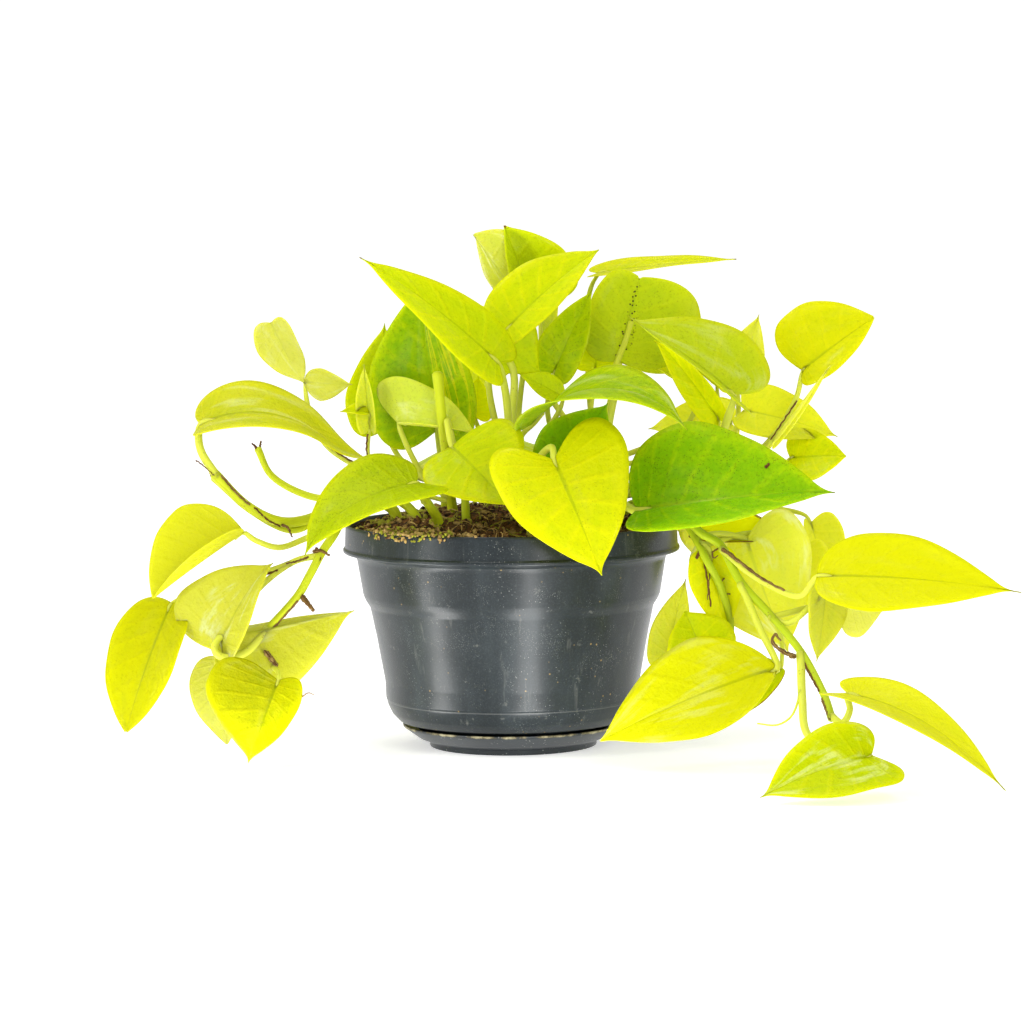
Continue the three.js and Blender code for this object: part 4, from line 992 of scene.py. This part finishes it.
vine("vine_left_middle", green=0.25)
stem(2.4, 2.2, "-26 -6 88, -26 -6 104, -27 -9 114, -28 -16 128, -30 -24 146, -32 -30 170")
dried(0.45, 0.35, "-64 -10.5 142, -64.5 -10 135, -63 -9.5 129")
leaf("-33 -3 143, -40 -6 211, -0.1 -0.98 0.15", [58, 40], "-27 -9 113, -31 -4 128", arch=10,
     fold=[4, 10], cup=10, lobe=0.9, point=0.6, green=0.78, specks=0.3, fleck=0.9, deep=-0.15)
leaf("-57 8 143, -56 2 192, -0.3 -0.9 0.2", [34, 30], "-27 -8 112, -40 0 122, -50 6 130", arch=10,
     cup=12, green=0.5, deep=-0.1)
leaf("-63 -10 145, -65 -14 174, -0.2 -0.9 0.3", 14, "-27 -8 111, -50 -6 118, -63 -9 130", arch=10,
     fold=40, cup=20, stalk_r=[1.1, 0.8], pale=0.25, deep=-0.1)
leaf("-63 -13 152, -76 -18 153, -0.2 -0.7 0.7", 8, "-63 -10 147, -62 -12 150", arch=20, fold=20,
     cup=10, lobe=0.2, stalk_r=[0.9, 0.7])
# Painted light: this leaf's pale tone and its negative shading share brighten its rear half, which
# lies in shade.
leaf("-50 -14 147, -14 -24 143, -0.15 -0.95 0.35", [42, 10], "-27 -9 113, -38 -10 122, "
     "-45 -12 134", arch=30, fold=[5, 80], cup=[30, 10], lobe=[1.7, 0.4], green=0.42, pale=0.25,
     specks=0.3, deep=-0.3, sheen=0.2)

vine("vine_left_low")
stem(2.2, 1.6, "-20 -28 88, -20 -28 104, -21 -24 120, -24 -24 136")
leaf("-26 -36 138, 1 -66 113, -0.12 -0.78 0.62", [54, 44], "-22 -24 120, -27 -24 146, -28 -30 148",
     arch=15, fold=6, cup=10, lobe=0.45, stalk_r=[1.6, 1.2], green=0.36, specks=0.3, deep=-0.1)

vine("vine_crown_left")
stem(2.6, 2.2, "3 -12 88, 3 -12 104, 2 -13 116")
leaf("-5 -34 175, -66 -44 223, 0.42 -0.66 0.6", [40, 34], "2 -13 115, 0 -20 140, -2 -26 162",
     arch=18, twist=-4, point=0.85, stalk_r=[2, 1.6], green=0.36, tipped=0.8, deep=-0.05)
leaf("-15 -8 191, 14 -4 168, 0.3 -0.9 0.3", [40, 30], "2 -12 114, 1 -12 148, 1 -10 172", arch=12,
     fold=6, lobe=0.5, point=0.5, stalk_r=[2, 1.5], green=0.5, deep=-0.3)
leaf("3 14 203, -16 7 231, -0.3 -0.8 0.5", [14, 34], "8 11 180, 4 12 194", arch=10, fold=4, cup=6,
     lobe=0.5, point=[0.95, -1.3], pale=0.45, deep=0.02, sheen=0.9)
leaf("10 14 200, -2 6 235, 0 -0.9 0.4", [14, 48], "3 -10 114, 4 4 150, 8 11 180", arch=20,
     fold=[20, 5], cup=10, lobe=0.9, point=0.35, green=0.48, tipped=1, deep=-0.08)
leaf("-1 -16 189, 41 -10 224, -0.25 -0.8 0.5", [36, 26], "2 -13 114, -9 -12 160, -6 -14 180",
     arch=24, fold=10, cup=10, point=0.5, stalk_r=[1.7, 1.3], specks=0.2, deep=-0.05)
leaf("-16 14 148, -14 10 167, 0 -0.9 0.4", 17, "3 -9 114, -4 6 130, -13 13 140", arch=20, fold=12,
     cup=12, green=0.35, deep=-0.95)

vine("vine_front_centre")
stem(2.6, 2.2, "4 -30 88, 4 -30 104, 6 -32 116")
leaf("19 -64 134, 39 -98 86, -0.05 -0.86 0.5", [62, 60], "6 -32 114, 12 -44 132, 18 -56 139",
     fold=6, lobe=1.3, stalk_r=[1.8, 1.4], green=0.18, specks=0.35)
leaf("10 -35 148, 77 -81 147, -0.08 -0.3 0.95", 46, "6 -31 114, 3 -28 132, 5 -30 142", arch=85,
     hook=15, fold=4, cup=10, lobe=0.5, green=0.7, specks=0.3, deep=0.09, sheen=0.25)
leaf("22 -28 126, 44 -20 156, -0.2 -0.9 0.3", 34, "6 -31 113, 14 -28 118", fold=6, green=1,
     specks=0.3, deep=-0.4)
leaf("24 -12 158, 4 -14 169, 0.3 -0.8 0.5", 14, "6 -30 114, 14 -18 138, 22 -13 152", arch=10,
     fold=10, cup=10, lobe=0.3, green=0.5, deep=-0.15)

vine("vine_front_right")
stem(2.4, 2.2, "26 -20 88, 26 -20 104, 30 -24 112, 40 -34 112")
dried(0.9, 0.5, "111.5 -65 130, 113 -64.5 131.5")
leaf("55 -58 111, 142 -72 119, -0.05 -0.85 0.52", [74, 56], "38 -33 112, 48 -48 113", arch=12,
     hook=10, fold=[2, 36], cup=[10, 8], lobe=0.6, point=0.8, stalk_r=[2.2, 1.8], green=0.9,
     specks=0.7, deep=-0.19)
leaf("99 -40 160, 52 -46 196, 0.3 -0.75 0.6", [12, 54], "30 -22 112, 62 -24 118, 90 -32 138, "
     "97 -38 152", arch=24, hook=-16, fold=[30, 6], cup=[4, 12], lobe=1.2, point=0.95,
     stalk_r=[2, 1.7], green=0.42, pale=0.05, deep=0.06, sheen=0.15)

vine("vine_crown_right")
stem(2.6, 2.2, "38 0 88, 38 0 104, 40 0 118")
thread(1.5, 1.2, "47.5 5 169, 49.5 5.5 175, 52 5 181, 55 4.5 190.5")
leaf("20 6 168, 38 6 206, -0.25 -0.9 0.25", [24, 22], "39 0 115, 24 2 130, 17 4 150", cup=10,
     green=0.66, specks=0.4, deep=-0.05)
leaf("39 18 169, 42 16 192, -0.2 -0.9 0.25", 22, "40 0 115, 36 10 140", fold=12, cup=10,
     green=0.35, deep=-0.5)
leaf("49 7 173, 59 2 211, 0.05 0.95 0.25", [64, 36], "40 0 116, 45 0 146, 48 6 160", arch=16,
     fold=6, cup=14, lobe=0.7, point=-1.2, notch=0.35, stalk_r=[1.7, 1.3], green=0.52, specks=1)
leaf("41 26 212, 104 18 218, 0 -0.27 0.96", 22, "40 2 116, 36 20 160, 36 25 198", arch=8, fold=6,
     cup=6, green=0.2, tipped=0.7, deep=0.05)
leaf("93 -24 148, 64 -28 184, -0.5 -0.8 0.3", 16, "40 -1 116, 64 -10 120, 88 -20 136", arch=-30,
     hook=-40, fold=20, cup=20, green=0.28, deep=-0.5)
leaf("93 -14 163, 74 -16 182, 0.2 -0.5 0.8", 16, "40 -1 116, 66 -6 120, 90 -12 145", arch=-20,
     fold=20, cup=20)
leaf("85 -4 159, 66 -6 170, 0.2 -0.4 0.9", 22, "40 0 116, 60 -2 125, 80 -3 145", arch=30, fold=10,
     cup=10)

vine("vine_right_upper")
stem(2.4, 1.8, "58 -4 88, 58 -4 104, 64 -4 112, 84 -4 116, 98 -4 120")
dried(0.4, 0.3, "128.5 -14 155.5, 122.5 -15.5 147, 116.5 -17.5 138.5")
leaf("104 26 158, 114 24 193, -0.3 -0.9 0.2", 22, "84 -4 115, 100 14 128, 104 24 146", arch=10,
     fold=10, cup=10, green=0.2, pale=0.3)
leaf("131 -14 169, 163 -20 193, -0.2 -0.95 0.2", [48, 20], "98 -4 119, 118 -8 139, 128 -12 156",
     arch=20, fold=[6, 12], cup=10, point=-0.1, green=0.12, deep=0.2)
leaf("118 -17 138, 143 -24 172, 0.5 -0.8 0", 8, "96 -4 119, 105 -12 122", arch=0, fold=60, cup=30,
     green=0.1, pale=0.3, deep=-0.35)
leaf("106 6 150, 148 0 138, 0.1 -0.75 0.6", 30, "84 -4 115, 98 2 132, 102 4 142", arch=20,
     green=0.15, pale=0.1)
leaf("100 9 144, 62 6 142, -0.1 -0.75 0.6", 26, "84 -4 115, 92 4 128", arch=20, green=0.2,
     pale=0.2, deep=-0.5)
leaf("126 -4 129, 151 -10 130, 0 -0.8 0.6", [26, 34], "96 -4 119, 112 -4 114", arch=15, fold=10,
     cup=10, point=0.35)

vine("vine_left_arch", green=0.2)
stem(2.6, 2.2, "-52 6 88, -52 6 104, -60 6 110, -75 2 109, -93 -14 104, -105 -24 105, "
     "-118 -32 113, -131 -37 127")
stem(1.8, 1.5, "-56 6 108, -64 13 113, -82 14 111, -96 16 114, -109 18 122, -115 20 134")
stem(1.6, 1.2, "-86 -8 104, -99 -18 100, -116 -29 110, -132 -33 125")
dried(0.55, 0.35, "-83.5 -3.5 138, -77.5 -1 133, -69.5 1 128")
dried(0.6, 0.5, "-128 -38 126.5, -122 -36 119, -116 -33.5 113")
dried(0.6, 0.45, "-114 -32 111.5, -108.5 -28.5 106, -103 -24 102.5")
dried(0.7, 0.35, "-102 -25 103, -99.5 -27 102, -97.5 -29 98")
dried(0.3, 0.2, "-139 -39 133.5, -135 -40 130.5, -131 -39 126.5")
dried(0.9, 0.5, "-131 -33 124, -132.5 -33 126, -133.5 -33 128.5")
dried(0.8, 0.4, "-115 20 132.5, -116 19 135, -117.5 18 136.5")
dried(0.8, 0.4, "-115 20 132.5, -114 20 135, -113.5 20 137.5")
leaf("-106 -18 193, -92 -8 165, -0.3 -0.9 -0.2", [23, 22], "", arch=20, fold=10, cup=30, lobe=0.7,
     point=0.5, green=0.1, pale=0.65, deep=0.21, sheen=0.3)
leaf("-92 -8 166, -70 -16 165, -0.2 -0.9 -0.3", 16, "-56 6 108, -54 4 118, -70 2 127, -83 -2 137, "
     "-90 -6 152", arch=10, fold=10, cup=10, lobe=0.2, stalk_r=[1.4, 1.1], green=0.15, pale=0.5,
     deep=0.2, sheen=0.3)
leaf("-137 -34 149, -58 -24 130, 0.1 -0.45 0.88", 42, "-130 -37 126, -137 -38 138", arch=114,
     hook=-60, cup=10, twist=6, lobe=0.6, point=1, stalk_r=[1.9, 1.6], green=0.15, pale=0.1,
     deep=0.33, sheen=0.3)

vine("vine_left_trail", green=0.25)
stem(2.2, 1.7, "-42 -14 88, -42 -14 104, -52 -12 113, -66 -16 112, -75 -24 105, -79 -36 99, "
     "-84 -40 92, -89 -44 83, -95 -46 73, -107 -48 60, -116 -48 50, -124 -46 42")
dried(1, 0.5, "-87.5 -39 92.5, -84 -42 93, -80.5 -43 91")
dried(0.8, 0.4, "-86.5 -40 94, -84.5 -42 90.5, -85 -43 88.5")
dried(0.5, 0.35, "-90 -39.5 90, -95.5 -38 88, -100 -37 87")
dried(0.55, 0.35, "-103.5 -35.5 84, -109.5 -34.5 82, -116.5 -33 79.5")
dried(1.4, 0.8, "-92.5 -47 73, -90 -50 70.5, -87.5 -51 67.5")
dried(1.5, 1.1, "-112 -50 51, -108 -53 48.5, -104 -54 43.5")
dried(0.55, 0.4, "-94.5 -47.5 71.5, -101 -48.5 64.5, -106.5 -49.5 58.5, -111.5 -49.5 53")
dried(0.35, 0.2, "-92.5 -65.5 31, -89.5 -67 33, -87 -67 32")
leaf("-118 -46 102, -158 -58 74, -0.2 -0.9 0.3", [16, 48], "-76 -26 104, -92 -27 97, -103 -35 94, "
     "-113 -43 98", arch=16, fold=[100, 4], cup=10, lobe=0.4, point=-0.5, stalk_r=[1.5, 1.2],
     green=0, pale=0.1, deep=0.25)
leaf("-130 -52 50, -104 -60 90, -0.3 -0.85 0.3", [54, 26], "-84 -40 91, -98 -36 87, -114 -34 74, "
     "-127 -42 55", arch=30, hook=30, fold=[0, 20], cup=[20, 5], stalk_r=[1.5, 1.2], green=0.05,
     pale=0.3, deep=0.41, sheen=0.6)
leaf("-151 -38 70, -171 -54 14, -0.4 -0.9 0.1", [29, 37], "-98 -36 87, -118 -32 80, -139 -32 74",
     arch=20, lobe=0.5, point=-0.5, stalk_r=[1.3, 1.1], green=0.06, deep=0.44)
leaf("-129 -54 56, -69 -48 67, 0 0.95 -0.3", [60, 40], "-108 -48 59, -117 -55 50, -126 -60 48, "
     "-131 -58 51", arch=16, fold=[0, 65], stalk_r=[1.9, 1.5], green=0.05, pale=0.25, deep=0.31,
     sheen=0.5)
leaf("-103 -62 38, -116 -74 3, 0.1 -0.95 0.3", [26, 60], "-120 -47 45, -112 -48 44, -104 -56 42",
     arch=16, fold=6, lobe=0.85, stalk_r=[1.3, 1.1], green=0.14, deep=0.48)
leaf("-129 -36 45, -127 -44 7, -0.5 -0.85 0.1", [34, 30], "-124 -46 43, -126 -40 46", arch=16,
     fold=10, cup=10, lobe=0.6, point=0.1, stalk_r=[1.3, 1.1], green=0, pale=0.7, deep=0.28)

vine("vine_right_trail", green=0.55)
stem(2.1, 1.6, "46 -24 88, 46 -24 104, 56 -32 110, 68 -42 109, 78 -50 105, 84 -56 100, 92 -60 95, "
     "100 -68 80, 112 -82 67, 124 -100 53, 132 -120 38, 135 -132 28")
thread(0.6, 0.3, "122 -122 39, 121 -124 34, 118 -125 28, 112 -124 24.5, 104 -122 25")
dried(1, 0.5, "92.5 -63 94, 100.5 -69 88, 108.5 -77 82.5, 118 -87 78")
dried(0.4, 0.25, "90.5 -61.5 94, 88 -62.5 92.5, 88.5 -62 90, 90.5 -61.5 91")
dried(1.2, 0.45, "121 -105 51.5, 116 -108 54, 111.5 -109 58, 112.5 -108 61.5, 115 -107 58.5")
dried(0.85, 0.5, "123.5 -102.5 51.5, 127 -111 45, 130.5 -120.5 38.5")
dried(0.7, 0.4, "131.5 -123.5 35.5, 132.5 -128.5 32, 134 -133 28")
leaf("114 -98 46, 37 -88 13, -0.2 -0.85 0.5", [42, 49], "100 -69 79, 103 -75 72, 108 -86 60",
     arch=24, lobe=0.1, point=0.4, stalk_r=[1.7, 1.4], green=0.04, deep=0.28, sheen=0.15)
leaf("117 -77 43, 103 -77 24, -0.1 -0.95 0.3", [8, 26], "113 -83 66, 117 -79 56", arch=30, fold=10,
     cup=14, lobe=0.5, point=0.2, stalk_r=[1.1, 0.9], green=0.35, dry=0.9)
leaf("131 -104 86, 217 -124 80, 0 -0.8 0.6", [42, 38], "92 -61 94, 104 -72 84, 118 -86 77, "
     "125 -96 77", arch=20, fold=6, lobe=0.4, point=1, stalk_r=[1.5, 1.2], green=0.02, deep=0.2)
leaf("141 -142 40, 204 -178 3, 0.3 -0.5 0.8", [30, 34], "135 -131 29, 139 -138 27, 142 -141 33",
     arch=50, hook=-6, fold=[8, 14], lobe=0.9, point=1, stalk_r=[1.6, 1.3], green=0.04, pale=0.05,
     deep=0.16)
leaf("149 -165 17, 101 -187 3, 0 -0.4 0.92", [52, 36], "124 -101 52, 123 -124 36, 124 -145 23, "
     "137 -160 16", arch=18, fold=[-2, 30], lobe=0.9, stalk_r=[1.9, 1.5], green=0.34, tipped=0.6,
     deep=0.12, sheen=0.4)
leaf("136 -84 79, 132 -82 46, 0.5 -0.8 0", 22, "112 -83 66, 120 -87 64, 130 -87 72", arch=10,
     fold=10, cup=10, green=0.15, pale=0.25, deep=0.1)
leaf("143 -73 72, 163 -70 67, 0.2 -0.9 0.3", [8, 34], "113 -82 66, 132 -76 70", arch=10, fold=10,
     cup=10, lobe=0.4, green=0, pale=0.7, deep=-0.15)

vine("vine_right_rear", green=0.5)
stem(2.1, 1.6, "48 -6 88, 48 -6 104, 58 -17 111, 70 -31 110, 77 -40 104, 82 -49 96, 86 -54 88, "
     "92 -54 76, 96 -52 62, 96 -50 48")
dried(0.45, 0.3, "93.5 -53 80, 91.5 -54 77.5, 92.5 -54 74.5, 96 -53.5 73")
dried(0.5, 0.35, "84.5 -52 89, 86 -56 79.5, 87.5 -56 68")
dried(0.35, 0.25, "88 -52 87, 86.5 -57 77.5, 86 -56 71")
dried(1, 0.6, "83 -52 92, 81.5 -52 89")
dried(1, 0.6, "86 -48 92.5, 85 -51 90")
leaf("68 -48 42, 77 -48 80, -0.4 -0.9 0", 20, "96 -50 49, 84 -50 44", fold=14, cup=10, green=0.15,
     pale=0.2, deep=0.14)
leaf("84 -56 46, 76 -54 66, 0.1 -0.9 0.3", 34, "96 -51 50, 90 -54 46", fold=14, cup=10, point=0.4,
     green=0.35, deep=-0.2)
leaf("88 -50 90, 94 -52 54, 0 -0.95 0.2", 24, "83 -50 95, 86 -51 94", fold=10, cup=10, green=0.15,
     deep=-0.35)
leaf("104 -40 96, 122 -52 46, -0.3 -0.9 0.2", 56, "81 -48 97, 92 -44 99", arch=24, lobe=1,
     green=0.1, pale=0.3, deep=-0.25, sheen=0.5)
leaf("134 -20 101, 144 -24 67, -0.3 -0.9 0.1", [30, 8], "62 -24 111, 90 -4 108, 114 -4 107, "
     "130 -16 105", fold=10, cup=10, stalk_r=[1.4, 1], green=0.1, pale=0.25, deep=-0.15)
leaf("84 -26 99, 124 -42 98, 0 -0.8 0.6", 24, "64 -24 110, 76 -24 105", arch=-10, fold=20, cup=30,
     green=0.1, dry=0.8, deep=-0.95)
leaf("84 6 105, 86 20 80, -0.3 -0.9 0.1", 18, "62 -22 111, 74 -14 112, 82 -4 111", fold=10, cup=10,
     lobe=0.4, green=0.15, pale=0.3, deep=-0.8)
leaf("130 -36 92, 136 -38 60, -0.3 -0.9 0.1", 24, "83 -51 94, 104 -36 98, 120 -34 97", fold=10,
     cup=10, green=0.1, pale=0.2, deep=-0.25)

vine("vine_back_left")
stem(2.4, 1.9, "-30 30 88, -30 30 104, -30 33 118, -30 37 132")
leaf("-34 44 148, -46 72 184, -0.3 0.75 0.6", 44, "-30 37 131, -32 40 140", arch=26)
leaf("-10 40 162, -22 70 200, 0.1 0.8 0.6", 44, "-30 36 128, -22 36 142, -13 37 154", arch=26)
leaf("-42 52 122, -56 92 108, -0.4 0.4 0.85", 46, "-30 34 116, -36 42 124", arch=40, green=0.4)
leaf("-70 30 112, -88 46 94, -0.5 0.5 0.75", 30, "-30 33 115, -50 32 120", arch=30)

vine("vine_back_right")
stem(2.4, 1.9, "34 32 88, 34 32 104, 35 34 118, 36 38 132")
leaf("54 46 182, 62 74 206, 0.2 0.8 0.6", 34, "36 37 131, 44 38 146", arch=26, green=0.35)
leaf("14 42 188, 24 66 214, -0.1 0.85 0.5", 28, "36 37 130, 26 36 144, 17 39 160", arch=24,
     green=0.35)
leaf("70 42 122, 116 66 112, 0.3 0.4 0.87", 44, "35 35 118, 54 38 124", arch=36, green=0.45)
leaf("82 48 138, 108 66 150, 0.3 0.6 0.7", 26, "36 36 122, 60 44 130", arch=26, green=0.2)

vine("vine_back_trail")
stem(2.2, 1.6, "4 52 88, 4 52 104, 5 62 112, 5 74 110, 4 86 98, 2 94 78, 2 102 56, 4 110 36, "
     "6 120 18")
leaf("14 60 126, 26 98 120, 0.2 0.3 0.93", 44, "5 62 112, 9 57 120", arch=46, green=0.4)
leaf("-18 96 88, -36 110 48, -0.2 0.9 0.3", 46, "4 88 95, -8 92 94", arch=24, green=0.2)
leaf("22 100 72, 38 112 30, 0.25 0.9 0.3", 46, "2 96 73, 12 98 77", arch=24)
leaf("-16 112 48, -34 128 8, -0.2 0.85 0.4", 44, "2 103 53, -8 108 53", arch=24, green=0.1,
     deep=0.1)
leaf("14 130 22, 30 156 4, 0.1 0.5 0.85", 40, "6 120 18, 10 126 20", arch=30, green=0.06,
     deep=0.15)

vine("vine_back_side")
stem(2.1, 1.6, "58 22 88, 58 22 104, 70 26 110, 82 28 102, 92 30 88")
leaf("98 30 84, 118 40 50, 0.6 0.7 0.3", 40, "92 30 88, 95 30 87", arch=24)
leaf("84 44 100, 96 74 72, 0.4 0.8 0.4", 42, "82 28 102, 83 36 103", arch=30, green=0.5)

print("leaves:", sum(len(row["leaves"]) for row in VINES))

# %% Grow the vines
for row in VINES:
    piece = leafy_stem(**row)
    print(piece.name, len(piece.data.polygons), "faces")

# %% [markdown]
# ## Measure
# `corners` rounds each corner of a box to five places.

# %% Measure and finish
def corners(box):
    return [[round(c, 5) for c in corner] for corner in box]
